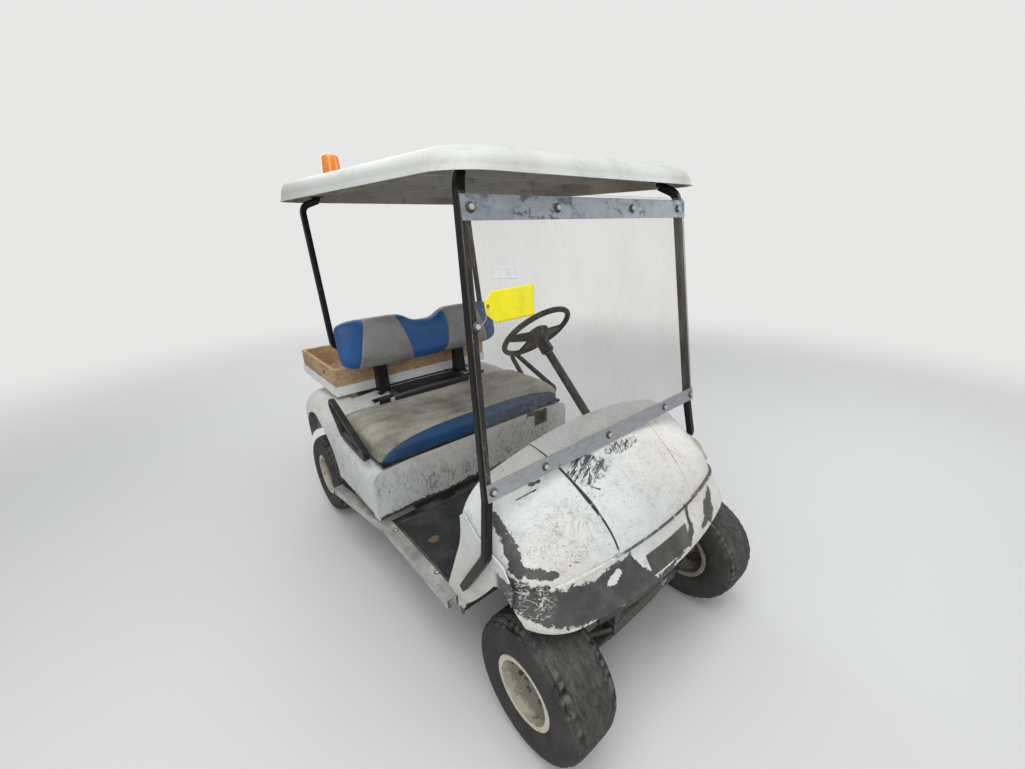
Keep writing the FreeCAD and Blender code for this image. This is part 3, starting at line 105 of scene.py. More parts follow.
def most_of(masks):
    """The largest of several masks at each place."""
    return functools.reduce(Socket.most, masks)


# %% A finish and its patterns


class Finish:
    """A material with one Principled shader, and short words for the nodes that feed it."""

    def __init__(self, name):
        self.material = bpy.data.materials.new(name)
        self.material.use_nodes = True
        self.tree = self.material.node_tree
        self.tree.nodes.clear()
        self.shader = self.tree.nodes.new("ShaderNodeBsdfPrincipled")
        self.sink = self.tree.nodes.new("ShaderNodeOutputMaterial")
        self.tree.links.new(self.shader.outputs[0], self.sink.inputs[0])
        self.place = self.vector("SUBTRACT", self.node("ShaderNodeTexCoord", output=3), tuple(MIDDLE))

    def feed(self, node, values):
        """Links a node's inputs to expressions, or sets them to plain numbers."""
        for key, value in values.items():
            if isinstance(value, Socket):
                self.tree.links.new(value.out, node.inputs[key])
            else:
                node.inputs[key].default_value = value

    def node(self, kind, settings=None, values=None, output=0):
        """A node of that kind: its settings first, then what its sockets hold or are linked to."""
        node = self.tree.nodes.new(kind)
        for key, value in (settings or {}).items():
            if key == "stops":
                ramp = node.color_ramp
                while len(ramp.elements) < len(value):
                    ramp.elements.new(0.5)
                for element, (spot, colour) in zip(ramp.elements, value):
                    element.position, element.color = spot, (*colour, 1)
            else:
                setattr(node, key, value)
        self.feed(node, values or {})
        return Socket(self, node.outputs[output])

    def vector(self, operation, *values, output=0):
        """A Vector Math node; a length or a dot product is its output 1."""
        return self.node("ShaderNodeVectorMath", {"operation": operation}, dict(enumerate(values)), output)

    def part(self, vector, axis=0):
        """One of the three numbers of a vector or a colour."""
        return self.node("ShaderNodeSeparateXYZ", None, {0: vector}, axis)

    def attribute(self, name):
        """The number that a mesh keeps at each of its points under that name."""
        return self.node("ShaderNodeAttribute", {"attribute_name": name}, None, 2)

    def axes(self):
        """The place along X, Y and Z, in millimetres from the middle of the wheelbase."""
        return [self.part(self.place, k) * 1000.0 for k in range(3)]

    def facing(self, axis):
        """How far the surface looks along X, Y or Z, from -1 to 1."""
        return self.part(self.node("ShaderNodeNewGeometry", output=1), axis)

    def turned(self, angles=(0, 0, 0), scale=(1, 1, 1)):
        """The place, turned by angles in degrees and then stretched: a large scale makes a pattern fine."""
        angles = tuple(math.radians(a) for a in angles)
        return self.vector("MULTIPLY", self.node("ShaderNodeMapping", None, {0: self.place, 2: angles}), scale)

    def along(self, way, stretch):
        """The place in axes of its own: true to scale along a direction, and stretched square to it."""
        way = np.array(way, float) / np.linalg.norm(way)
        side = np.cross(way, (0.31, 0.87, 0.39))        # any direction that no scratch runs in will do
        side *= stretch / np.linalg.norm(side)
        parts = [self.vector("DOT_PRODUCT", self.place, tuple(axis), output=1)
                 for axis in (way, side, np.cross(way, side))]
        return self.node("ShaderNodeCombineXYZ", None, dict(enumerate(parts)))

    def noise(self, scale, detail=3.0, rough=0.55, place=None, bend=0.0):
        """A cloudy pattern around 0.5, with about so many clouds a metre."""
        values = {"Vector": place or self.place, "Scale": scale, "Detail": detail,
                  "Roughness": rough, "Distortion": bend}
        return self.node("ShaderNodeTexNoise", None, values)

    def cells(self, scale, feature="F1", place=None, output=0):
        """Grains, each round a point of its own, with about so many of them a metre."""
        values = {"Vector": place or self.place, "Scale": scale}
        return self.node("ShaderNodeTexVoronoi", {"feature": feature}, values, output)

    def hairlines(self, way, scale=6.0, stretch=16.0, width=0.012, share=0.5):
        """Long scratches that run with a direction: the level line of a noise that is drawn out along it."""
        line = abs(self.noise(scale, 1.0, 0.4, self.along(way, stretch)) - 0.5)
        kept = self.noise(scale * 1.7, 3.0, 0.6, self.along(way, 3.0)).rise(1 - share, 1.03 - share)
        return line.rise(width, width * 0.3) * kept

    def scratches(self, scale, angles, width=0.006, stretch=14.0, share=0.5):
        """Thin broken lines: the level line of a noise that is pulled long, kept only in places."""
        line = abs(self.noise(scale, 2.0, 0.5, self.turned(angles, (1, stretch, stretch))) - 0.5)
        kept = self.noise(scale * 2.1, 2.0, 0.5, self.turned(angles)).rise(1 - share, 1.04 - share)
        return line.rise(width, width * 0.4) * kept

    def blob(self, centre, radii):
        """1 at the centre of an ellipsoid given in millimetres, 0 at its skin, negative outside."""
        away = self.vector("SUBTRACT", self.place, tuple(c / 1000 for c in centre))
        near = self.vector("DIVIDE", away, tuple(r / 1000 for r in radii))
        return 1 - self.vector("LENGTH", near, output=1)

    def profile(self, along, table):
        """The height in millimetres that a table of (place, height) rows gives along an axis."""
        low, high = table[0][0], table[-1][0]
        stops = [((spot - low) / (high - low), (height / 1000,) * 3) for spot, height in table]
        share = (along - low) / (high - low)
        return self.node("ShaderNodeValToRGB", {"stops": stops}, {0: share}) * 1000.0

    def stroke(self, start, end):
        """Distance in millimetres to the straight line between two points, given in millimetres."""
        start, way = np.array(start) / 1000, (np.array(end) - start) / 1000
        away = self.vector("SUBTRACT", self.place, tuple(start))
        share = self.vector("DOT_PRODUCT", away, tuple(way / (way @ way)), output=1).most(0.0).least(1.0)
        foot = self.node("ShaderNodeVectorMath", {"operation": "SCALE"}, {0: tuple(way), 3: share})
        return self.vector("LENGTH", self.vector("SUBTRACT", away, foot), output=1) * 1000.0

    def mix(self, share, first, second):
        """The first colour where share is 0, the second where it is 1."""
        first, second = (c if isinstance(c, Socket) else (*c, 1) for c in (first, second))
        return self.node("ShaderNodeMix", {"data_type": "RGBA"}, {0: share, 6: first, 7: second}, 2)

    def done(self, colour, rough, metal=0.0, height=None, depth=0.001, **plain):
        """Links the finish up; height is a bump in units of depth metres. Returns the material."""
        inputs = {"Base Color": colour if isinstance(colour, Socket) else (*colour, 1),
                  "Roughness": rough, "Metallic": metal}
        if height is not None:
            inputs["Normal"] = self.node("ShaderNodeBump", None,
                                         {"Height": height, "Strength": 1.0, "Distance": depth})
        for name, value in plain.items():
            inputs[name.replace("_", " ").title().replace("Ior", "IOR")] = value
        self.feed(self.shader, inputs)
        return self.material


def dress(material, *names):
    """Puts one finish on CAD nodes, in place of the plain colour that they came with."""
    for name in names:
        mesh = NODES[name].data
        mesh.materials.clear()
        mesh.materials.append(material)
    print(material.name, "on", *names)


# %% [markdown]
# ## White body paint, worn to the moulding
# The body is grey plastic under a thin white coat. Years of knocks have taken the coat off the nose and the
# corners in ragged patches, and left fine dark scratches everywhere. One function makes the coat: each row of a
# table says where a worn patch lies, in millimetres, and a noise frays its edge.

# %% Body paint
COAT, COAT_WARM = (0.62, 0.65, 0.64), (0.66, 0.64, 0.57)
BARE, BARE_PALE = (0.046, 0.044, 0.043), (0.080, 0.077, 0.073)
GRIME, BLACK_RUBBER_AND_SHADE = (0.13, 0.12, 0.10), (0.014, 0.014, 0.015)
HIDES = 0.96        # how much of the coat a black mark hides


def worn_coat(name, patches, crackle, grime, more):
    """White coat over dark grey. Patches are (start, end, half width) in millimetres: the coat is gone near each
    line, with a frayed edge. Crackle is the strength of the cracks and splashed dirt on what faces forwards, and
    more is a function that adds the marks of one moulding to the masks of lost coat, dark marks and black; on the
    rear body the black is the painted shade under the backrest."""
    f = Finish(name)
    x, y, z = f.axes()
    fray = f.noise(9.0, 6.0, 0.62) - 0.5
    ragged = f.noise(46.0, 4.0, 0.62) - 0.5
    fringe = f.noise(170.0, 3.0, 0.6) - 0.5
    edge = fray * 0.9 + ragged * 0.8 + fringe * 0.35
    worn = most_of([1 - f.stroke(start, end) / half for start, end, half in patches])
    bare = (worn + edge * 2.4).rise(0.10, 0.18) * worn.rise(-0.9, -0.5)
    lines = f.scratches(5.0, (20, 10, 35), 0.012, 16.0, 0.42).most(
        f.scratches(9.0, (-15, 30, -50), 0.016, 20.0, 0.40))
    nicks = f.noise(75.0, 5.0, 0.68, bend=0.4).rise(0.655, 0.68)
    masks = {"lost": bare.most(nicks * f.noise(4.6, 3.0).rise(0.45, 0.58)), "marks": lines * 0.5}
    more(f, (x, y, z), edge, masks)
    film = f.noise(2.3, 5.0, 0.65).rise(0.36, 0.70) * grime
    low = z.rise(640.0, 340.0) * grime
    speckle = f.noise(240.0, 3.0, 0.7).rise(0.54, 0.66) * f.noise(6.0, 4.0, 0.6).rise(0.42, 0.62)
    mottle = f.noise(19.0, 6.0, 0.7).rise(0.50, 0.72) * 0.5 * grime
    coat = f.mix(f.noise(1.6, 2.0).rise(0.40, 0.66), COAT, COAT_WARM)
    coat = f.mix((film * 0.40 + low * 0.22 + speckle * 0.40 + mottle).least(0.75), coat, GRIME)
    if crackle:
        front = f.facing(1).rise(-0.4, -0.8) * crackle
        cracks = f.cells(22.0, "DISTANCE_TO_EDGE", f.turned(scale=(1.6, 1, 0.35))).rise(0.030, 0.008)
        cracks = cracks * f.noise(9.0, 5.0, 0.65).rise(0.52, 0.62)
        dirt = f.noise(120.0, 7.0, 0.82, f.turned(scale=(1, 1, 0.30))).rise(0.505, 0.575)
        dirt = dirt * (z.rise(640.0, 380.0) * 0.85 + 0.15) * f.noise(5.0, 4.0, 0.6).rise(0.34, 0.54)
        masks["marks"] = most_of([masks["marks"], cracks * front * 0.5, dirt * front])
    under = f.mix(f.noise(24.0, 5.0, 0.65).rise(0.35, 0.75), BARE, BARE_PALE)
    colour = f.mix(masks["lost"].most(masks["marks"]), coat, under)
    # black rubber marks on the nose, and the painted shade under the backrest on the rear body, cover the coat
    colour = f.mix(masks["black"], colour, BLACK_RUBBER_AND_SHADE)
    rough = 0.40 + film * 0.2 + speckle * 0.15 - masks["lost"] * 0.06
    relief = (1 - masks["lost"]) * 0.35 + f.noise(90.0, 2.0) * 0.05 - masks["marks"] * 0.1
    return f.done(colour, rough, height=relief, depth=0.0012)


# %% [markdown]
# ## Marks of the nose
# The nose has the hardest wear: a bare band with islands of coat in it, black rubber and painted shade along the
# creases, a dark line on the step, and hairlines that run several ways. Each is a place, from the tables below, times
# a pattern.

# %% Nose
# x and height of the line under which the coat is gone, and of the rim that is left at the bottom
BAND_EDGE = ((-600, 632), (-549, 622), (-503, 612), (-385, 588), (-317, 578), (-270, 590), (-222, 601),
             (-175, 590), (-140, 545), (-100, 500), (0, 476), (600, 466))
LIP_EDGE = ((-600, 566), (-549, 536), (-523, 519), (-470, 505), (-425, 499), (-340, 482), (-200, 462), (600, 450))
# centre and radii of the islands of coat, the torn patch, the rubbed places and the scuffed corner
ISLANDS = ((-262, -925, 556), (24, 40, 15)), ((-236, -932, 566), (17, 40, 13))
TORN = (-520, -830, 570), (95, 90, 80)
RUBBED = ((-165, -728, 806), (100, 66, 62)), ((40, -722, 818), (112, 30, 26))
SCUFFED = (-350, -805, 685), (215, 140, 125)
# start, end and half width of two short black marks beside the crease
RUB_LINES = (((-425, -676, 780), (-356, -688, 792), 3.0), ((-196, -770, 774), (-172, -790, 762), 4.0))
# the bonnet's creases in plan: x at a place along Y and what it gains a millimetre; then the half width of the black
# along them, which is wear and painted shade
CREASE_Y, CREASE_X, CREASE_SLOPE = -561.0, 264.0, 0.15183
CREASE_WEAR_AND_SHADE = ((-960, 0.5), (-903, 1.4), (-850, 2.4), (-824, 5.0), (-790, 6.0), (-735, 3.6), (-664, 2.2), (-560, 0.5))
# the step above the band lies on a plane through this place that climbs forwards
BAND_Y, BAND_Z, BAND_RISE = -560.0, 560.0, math.tan(math.radians(7.9))
# direction, scale and share of the hairlines
HAIRLINES = (((0.94, -0.24, -0.23), 4.2, 0.52), ((0.50, -0.62, -0.60), 5.0, 0.48),
             ((-0.30, -0.69, -0.66), 6.0, 0.46), ((0.77, 0.46, 0.44), 5.4, 0.50))


def nose_marks(f, axes, edge, masks):
    """The worn band, its islands of coat, the creases, the black rubber scrapes and the fine scratches."""
    x, y, z = axes
    ahead = y.rise(-715.0, -745.0)
    band = ((f.profile(x, BAND_EDGE) - z) / 60 + edge * 1.1).rise(-0.04, 0.05) * ahead
    lip = ((f.profile(x, LIP_EDGE) - z) / 40 + edge * 1.5).rise(-0.05, 0.05)
    island = (most_of([f.blob(*spot) for spot in ISLANDS]) + edge * 2.2).rise(0.22, 0.30)
    torn = f.scratches(13.0, (10, 40, 70), 0.035, 7.0, 0.55) * f.blob(*TORN).rise(0.0, 0.5)
    masks["lost"] = masks["lost"].most(band) * (1 - most_of([lip, island, torn]) * ahead)

    wander = (f.noise(30.0, 4.0, 0.6) - 0.5) * 9.0
    black = [(f.stroke(start, end) + wander).rise(half, half * 0.45) for start, end, half in RUB_LINES]
    # black along both creases: rubbed wear, and painted shade where the crease is only a shadow line
    off = abs(abs(x) - ((y - CREASE_Y) * CREASE_SLOPE + CREASE_X) + wander * 0.3)
    crease = (f.profile(y, CREASE_WEAR_AND_SHADE) * x.rise(10.0, -10.0).most(0.7) - off).rise(-0.8, 0.8)
    black.append(crease * z.rise(612.0, 626.0))
    step = abs(z - BAND_Z - (BAND_Y - y) * BAND_RISE + wander * 0.12).rise(2.4, 0.9)
    step = step * (x + edge * 400.0).rise(-320.0, -120.0) * 0.9
    broken = f.noise(40.0, 4.0, 0.65).rise(0.30, 0.44)
    rubbed = f.noise(15.0, 6.0, 0.75, f.along((-0.93, -0.26, -0.25), 7.0)).rise(0.490, 0.53)
    rubbed = rubbed.most(f.noise(22.0, 5.0, 0.75, f.along((-0.50, -0.62, -0.60), 7.0)).rise(0.515, 0.555))
    rubbed = rubbed * (most_of([f.blob(*spot) for spot in RUBBED]) + edge * 1.1).rise(0.12, 0.34)
    masks["black"] = ((most_of(black) * HIDES).most(step) * broken).most(rubbed * HIDES)

    fine = most_of([f.hairlines(way, scale, 18.0, 0.010, share) for way, scale, share in HAIRLINES])
    scuffed = f.blob(*SCUFFED).rise(0.0, 0.6)
    smear = f.noise(13.0, 8.0, 0.80, f.along((0.50, -0.62, -0.60), 1.8)).rise(0.50, 0.66) * scuffed
    masks["marks"] = most_of([masks["marks"], fine * (scuffed * 0.45 + 0.30), smear * 0.55])


NOSE_WEAR = (
    ((-500, -655, 748), (-502, -712, 706), 22), ((-502, -712, 706), (-508, -785, 642), 26),
    ((-508, -785, 642), (-440, -850, 630), 18), ((352, -918, 566), (286, -948, 520), 32),
    ((286, -948, 520), (216, -958, 510), 14), ((148, -925, 605), (150, -945, 545), 13),
    ((150, -945, 545), (110, -970, 505), 16), ((110, -970, 505), (-70, -984, 492), 11),
    ((-560, -520, 300), (-540, -600, 330), 20), ((-360, -672, 806), (-330, -676, 806), 8),
)
dress(worn_coat("white_coat_cowl", NOSE_WEAR, 0.0, 0.4, nose_marks), "front_cowl")

# %% Rear body
REAR_WEAR = (
    ((-560, 62, 354), (440, 62, 358), 16), ((-588, 120, 360), (-588, 500, 352), 9),
    ((588, 100, 366), (588, 480, 360), 12), ((300, 62, 590), (420, 62, 560), 16),
)


def tray_shade_mask(f, axes, edge, masks):
    """Painted shade under the backrest: black over the dark tray in the deck between the uprights of the backrest,
    inside its outline and above its floor.
    """
    x, y, z = axes
    inside = abs(x).rise(246.0, 238.0) * y.rise(512.0, 518.0) * y.rise(676.0, 668.0)
    masks["black"] = inside * z.rise(640.0, 655.0) * HIDES


dress(worn_coat("white_coat_rear", REAR_WEAR, 0.9, 0.6, tray_shade_mask), "rear_body")

# %% [markdown]
# ## Canopy
# The roof is moulded in pale plastic that has gone dull and yellow. Rain leaves long faint streaks on top, and the
# ribbed underside, which faces down, is a darker brown.

# %% Canopy finish


def canopy_finish():
    """Stains, specks and scuffs on top, and drips on a darker brown below; the facing of the surface picks one."""
    f = Finish("canopy_plastic")
    stain = f.noise(2.2, 5.0, 0.6, f.turned((0, 0, 8), (3.0, 1.0, 1.0))).rise(0.36, 0.75)
    specks = f.noise(120.0, 3.0, 0.7).rise(0.70, 0.74)
    scuffs = f.scratches(4.0, (0, 0, 20), 0.005, 10.0, 0.45)
    under = f.facing(2).rise(0.25, -0.35)
    rub = f.noise(7.0, 6.0, 0.7, f.turned((0, 0, 15), (1, 2.4, 1))).rise(0.58, 0.68)
    top = f.mix(stain * 0.6, (0.50, 0.52, 0.49), (0.38, 0.38, 0.33))
    top = f.mix(most_of([specks * 0.7, scuffs * 0.4, rub * 0.18]), top, (0.13, 0.12, 0.11))
    drips = f.noise(16.0, 5.0, 0.7, f.turned(scale=(1, 1, 0.3))).rise(0.60, 0.70)
    below = f.mix(f.noise(5.0, 5.0, 0.65).rise(0.3, 0.75), (0.42, 0.37, 0.29), (0.22, 0.185, 0.14))
    below = f.mix(drips * 0.7, below, (0.07, 0.06, 0.05))
    relief = f.noise(6.0, 3.0) * 0.8 + f.noise(160.0, 2.0) * 0.05
    return f.done(f.mix(under, top, below), 0.5 + stain * 0.2, height=relief, depth=0.002)


dress(canopy_finish(), "canopy")

# %% [markdown]
# ## Painted steel
# The struts, brackets and running gear are black enamel. It wears through to bare steel where hands and boots rub,
# collects dust on what faces up, and rusts low down. The same recipe with other numbers gives all of them.

# %% Enamel


def enamel(name, colour, worn, dust, rust, bare=(0.30, 0.29, 0.27)):
    """Paint on steel with rubbed spots, dust on upward faces and a little rust."""
    f = Finish(name)
    rubbed = (f.noise(24.0, 5.0, 0.65) + f.noise(3.0, 2.0) * 0.4).rise(1.0 - 0.28 * worn, 1.03 - 0.28 * worn)
    lines = f.scratches(9.0, (0, 80, 20), 0.005, 9.0, 0.35 + 0.2 * worn)
    settled = (f.facing(2).rise(0.2, 0.95) * 0.8 + 0.2) * f.noise(7.0, 5.0, 0.6).rise(0.3, 0.7) * dust
    browned = f.noise(15.0, 6.0, 0.7).rise(0.80 - 0.3 * rust, 0.86 - 0.3 * rust)
    paint = f.mix(settled, colour, (0.26, 0.24, 0.20))
    paint = f.mix(rubbed.most(lines * 0.6), paint, bare)
    paint = f.mix(browned, paint, (0.17, 0.075, 0.035))
    rough = 0.36 + settled * 0.35 + browned * 0.3
    return f.done(paint, rough, height=(1 - rubbed) * 0.4 + browned * 0.3 + f.noise(140.0, 2.0) * 0.1,
                  depth=0.0005, specular_ior_level=0.22)


dress(enamel("strut_enamel", (0.007, 0.007, 0.008), 0.10, 0.04, 0.06), "front_struts", "rear_struts")
dress(enamel("bracket_enamel", (0.008, 0.008, 0.009), 0.15, 0.15, 0.10), "seat_back_frame", "steering_column")
dress(enamel("seat_base_enamel", (0.016, 0.015, 0.014), 0.3, 0.3, 0.15), "seat_board")
dress(enamel("running_gear", (0.03, 0.028, 0.026), 0.4, 0.7, 0.7), "chassis_frame", "front_suspension",
      "right_knuckle", "left_knuckle", "tie_rod", "pitman_arm", "rear_axle", "rear_suspension")
dress(enamel("bumper_enamel", (0.035, 0.034, 0.033), 0.7, 0.5, 0.4), "bumpers")
dress(enamel("frame_enamel", (0.70, 0.72, 0.71), 0.35, 0.35, 0.25, (0.10, 0.09, 0.085)), "cargo_frame")


# %% Rims
FRONT_OUT, REAR_OUT = 543.0, 584.0      # the rims' outer faces from the middle of the cart, in millimetres


def rim_enamel():
    """Cream paint in rings, dull towards the hub, and darker there and deep in the dish with dirt and painted shade;
    the distance is taken from the nearer axle.
    """
    f = Finish("rim_enamel")
    x, y, z = f.axes()
    reaches = []
    for hub in list(HUBS.values())[::2]:
        along, up = y - float(hub[1] - MIDDLE[1]) * 1000, z - float(hub[2]) * 1000
        reaches.append((along * along + up * up) ** 0.5)
    reach = functools.reduce(Socket.least, reaches)
    outer = y.rise(-10.0, 10.0) * (REAR_OUT - FRONT_OUT) + FRONT_OUT
    dirt = f.noise(34.0, 6.0, 0.7)
    # dirt and painted shade: darker towards the hub, and the further the rim lies inside its outer face
    deep = reach.rise(104.0, 52.0) * 0.8 + (outer - abs(x)).rise(2.0, 44.0) * 0.50 + dirt * 0.9
    deep = deep.rise(0.46, 1.05)
    rings = (reach * 0.9 + dirt * 1.2).sine().rise(0.2, 0.9) * 0.6 * f.noise(12.0, 4.0).rise(0.35, 0.6)
    chips = f.noise(90.0, 5.0, 0.7).rise(0.63, 0.67)
    colour = f.mix((deep * 0.85).most(rings * 0.8), (0.58, 0.55, 0.43), (0.11, 0.10, 0.08))
    colour = f.mix(chips * 0.8, colour, (0.05, 0.04, 0.034))
    colour = f.mix(f.noise(40.0, 5.0, 0.7).rise(0.58, 0.64) * 0.8, colour, (0.06, 0.045, 0.032))
    return f.done(colour, 0.5 + deep * 0.2, height=dirt * 0.4 + chips * -0.4, depth=0.0007)


dress(rim_enamel(), "front_right_rim", "front_left_rim", "rear_right_rim", "rear_left_rim")


# %% Zinc and aluminium


def galvanised():
    """Zinc: soft angular spangle in two greys, with pale oxide blooms."""
    f = Finish("galvanised_bar")
    grey = f.part(f.cells(46.0, output=1, place=f.turned(scale=(1, 1, 1.6))))
    bloom = f.noise(20.0, 6.0, 0.7, f.turned(scale=(0.6, 1, 1))).rise(0.42, 0.72)
    dark = f.noise(52.0, 6.0, 0.74, f.turned((0, 0, 10), (0.45, 1, 0.8))).rise(0.50, 0.60)
    dark = dark * f.noise(13.0, 3.0).rise(0.36, 0.58)
    colour = f.mix(grey * 0.45, (0.24, 0.27, 0.30), (0.35, 0.38, 0.41))
    colour = f.mix(bloom * 0.55, colour, (0.50, 0.54, 0.57))
    colour = f.mix(dark * 0.85, colour, (0.055, 0.06, 0.07))
    return f.done(colour, 0.44 + bloom * 0.25, 0.5, height=bloom * 0.5 + dark * -0.4, depth=0.0004)


def aluminium(name, grime, grain_scale, dull, bright):
    """Rolled aluminium gone dull: fine lines along its length, dirt in the scratches."""
    f = Finish(name)
    grain = f.noise(220.0, 3.0, 0.6, f.turned(scale=grain_scale))
    film = f.noise(30.0, 6.0, 0.7, f.turned(scale=(0.6, 0.4, 1))).rise(0.42, 0.72)
    marks = f.scratches(8.0, (0, 10, 5), 0.006, 8.0, 0.5)
    spots = f.noise(90.0, 5.0, 0.7).rise(0.60, 0.66) * f.noise(12.0, 3.0).rise(0.40, 0.60)
    colour = f.mix(grain.rise(0.35, 0.65), dull, bright)
    colour = f.mix(most_of([film * grime, marks * 0.7, spots * 0.8]), colour, (0.11, 0.10, 0.085))
    return f.done(colour, 0.36 + film * 0.25, 0.8 - film * 0.3, height=grain * 0.25 + marks * -0.4,
                  depth=0.0004)


dress(galvanised(), "upper_clamp_bar")
dress(aluminium("aluminium_bar", 0.35, (0.05, 1, 1), (0.40, 0.41, 0.43), (0.47, 0.48, 0.50)), "lower_clamp_bar")
dress(aluminium("rocker_aluminium", 0.6, (0.05, 0.05, 1), (0.43, 0.43, 0.42), (0.60, 0.59, 0.55)), "rocker_panels")

# %% [markdown]
# ## Plain plastics, rubber and board
# Dash, floor and socket are dark moulded plastic with a fine pebble grain. The mat holds pale dust in its ribs.
# The cargo box is chipboard: flakes of wood pressed flat, so its cells are stretched along the board.

# %% Plastics and rubber


def moulded(name, colour, dust=0.35, gloss=0.55, grain=420.0, dusty=(0.24, 0.225, 0.19)):
    """Plastic or rubber with a pebble grain, dust on what faces up, and pale scratches."""
    f = Finish(name)
    settled = (f.facing(2).rise(-0.1, 0.9) * 0.7 + 0.3) * f.noise(8.0, 6.0, 0.65).rise(0.32, 0.72) * dust
    wiped = f.scratches(7.0, (10, 40, 0), 0.006, 8.0, 0.45)
    tint = f.mix(settled, colour, dusty)
    tint = f.mix(wiped * 0.35, tint, dusty)
    return f.done(tint, 1 - gloss + settled * 0.3, height=f.cells(grain) * 0.4 + f.noise(30.0, 3.0) * 0.3,
                  depth=0.0003, specular_ior_level=0.25)


dress(moulded("black_plastic", (0.022, 0.022, 0.023)), "dash_panel", "receptacle", "beacon_base")
dress(moulded("floor_plastic", (0.04, 0.039, 0.036), 0.7), "floorboard")
dress(moulded("battery_case", (0.03, 0.03, 0.032), 0.6), "battery_pack")
dress(moulded("restraint_plastic", (0.010, 0.010, 0.010), 0.14, 0.6), "hip_restraints")


# %% Mat, and what is made like the dash


def mat_rubber():
    """Black ribbed rubber under trodden-in dust, with one spot that is worn through to the tan backing."""
    f = Finish("mat_rubber")
    trodden = f.noise(9.0, 6.0, 0.68).rise(0.36, 0.70)
    damp = f.noise(3.4, 3.0).rise(0.45, 0.62)
    hole = (f.blob((-437, -143, 303), (34, 30, 60)) + (f.noise(60.0, 5.0, 0.65) - 0.5) * 1.3).rise(0.30, 0.42)
    colour = f.mix(trodden * 0.55, (0.030, 0.032, 0.034), (0.105, 0.10, 0.088))
    colour = f.mix(damp * 0.5, colour, (0.022, 0.028, 0.036))
    colour = f.mix(hole * 0.8, colour, (0.20, 0.13, 0.07))
    return f.done(colour, 0.62 + trodden * 0.2, height=f.noise(120.0, 4.0, 0.6) * 0.6, depth=0.0008,
                  specular_ior_level=0.25)


dress(mat_rubber(), "floor_mat")
dress(moulded("pedal_rubber", (0.02, 0.02, 0.02), 0.5, 0.3), "pedals")
dress(moulded("wheel_plastic", (0.014, 0.014, 0.014), 0.16, 0.5), "steering_wheel")
dress(moulded("badge_recess", (0.055, 0.053, 0.05), 0.5, 0.4), "nose_plate")
dress(moulded("tail_lamp", (0.16, 0.012, 0.016), 0.4, 0.8, 60.0), "tail_lamps")


# %% Chipboard


def chipboard():
    """Cells stretched along the board, each in its own shade between two browns, with dirt and one knot."""
    f = Finish("chipboard")
    shade = f.part(f.cells(120.0, output=1, place=f.turned((0, 0, 4), (0.45, 0.45, 1.6))))
    dirt = f.noise(7.0, 5.0, 0.6).rise(0.42, 0.75)
    dark = f.noise(46.0, 4.0, 0.7, f.turned(scale=(0.4, 0.4, 1))).rise(0.62, 0.70)
    colour = f.mix(shade, (0.34, 0.20, 0.10), (0.56, 0.38, 0.22))
    colour = f.mix((dirt * 0.5).most(dark * 0.7), colour, (0.10, 0.065, 0.04))
    knot = (f.blob((-480, 895, 806), (30, 17, 17)) + (f.noise(70.0, 4.0) - 0.5) * 0.9).rise(0.2, 0.35)
    colour = f.mix(knot * 0.9, colour, (0.02, 0.014, 0.01))
    return f.done(colour, 0.8, height=shade * 0.5 + f.noise(300.0, 2.0) * 0.3, depth=0.0008)


dress(chipboard(), "cargo_box")

# %% [markdown]
# ## Windshield
# A clear acrylic sheet goes brown and hazy with dirt and fine scratches, so it shows mostly as a tint with bright
# hairlines. A thin tint needs no refraction: an alpha below one lets the view through, and dirt raises it.

# %% Acrylic sheet and amber lens


def acrylic():
    """A see-through tint; haze, hairlines, the dirty foot and the cut edges raise its alpha."""
    f = Finish("dirty_acrylic")
    haze = f.noise(3.2, 6.0, 0.65, f.turned(scale=(1, 1, 0.5))).rise(0.34, 0.74)
    hair = f.scratches(2.6, (0, 86, 0), 0.007, 26.0, 0.5).most(f.scratches(3.4, (0, -74, 10), 0.007, 30.0, 0.5))
    lower = f.axes()[2].rise(1150.0, 880.0)
    rim = abs(f.facing(0)).most(abs(f.facing(2))).rise(0.60, 0.80)
    alpha = (0.055 + haze * 0.07 + lower * 0.05 + hair * 0.16 + rim * 0.5).least(0.9)
    tint = f.mix(haze, (0.13, 0.112, 0.088), (0.25, 0.22, 0.175))
    colour = f.mix(hair * 0.7, tint, (0.66, 0.64, 0.60))
    return f.done(colour, 0.10 + haze * 0.2, alpha=alpha, specular_ior_level=0.3)


def amber():
    """Two ambers in soft clouds under a clear coat."""
    f = Finish("amber_lens")
    colour = f.mix(f.noise(9.0, 3.0).rise(0.3, 0.7), (0.78, 0.23, 0.012), (0.60, 0.15, 0.008))
    return f.done(colour, 0.22, height=f.noise(60.0, 2.0), depth=0.0004, coat_weight=0.5)


dress(acrylic(), "windshield")
dress(amber(), "beacon_lens")

# %% [markdown]
# ## Surfaces from arrays
# Everything that is added to the frame is a grid of points worked out at once: rows along one parameter, columns
# along the other. Closing the grid joins its last row or column to the first.

# %% Grids


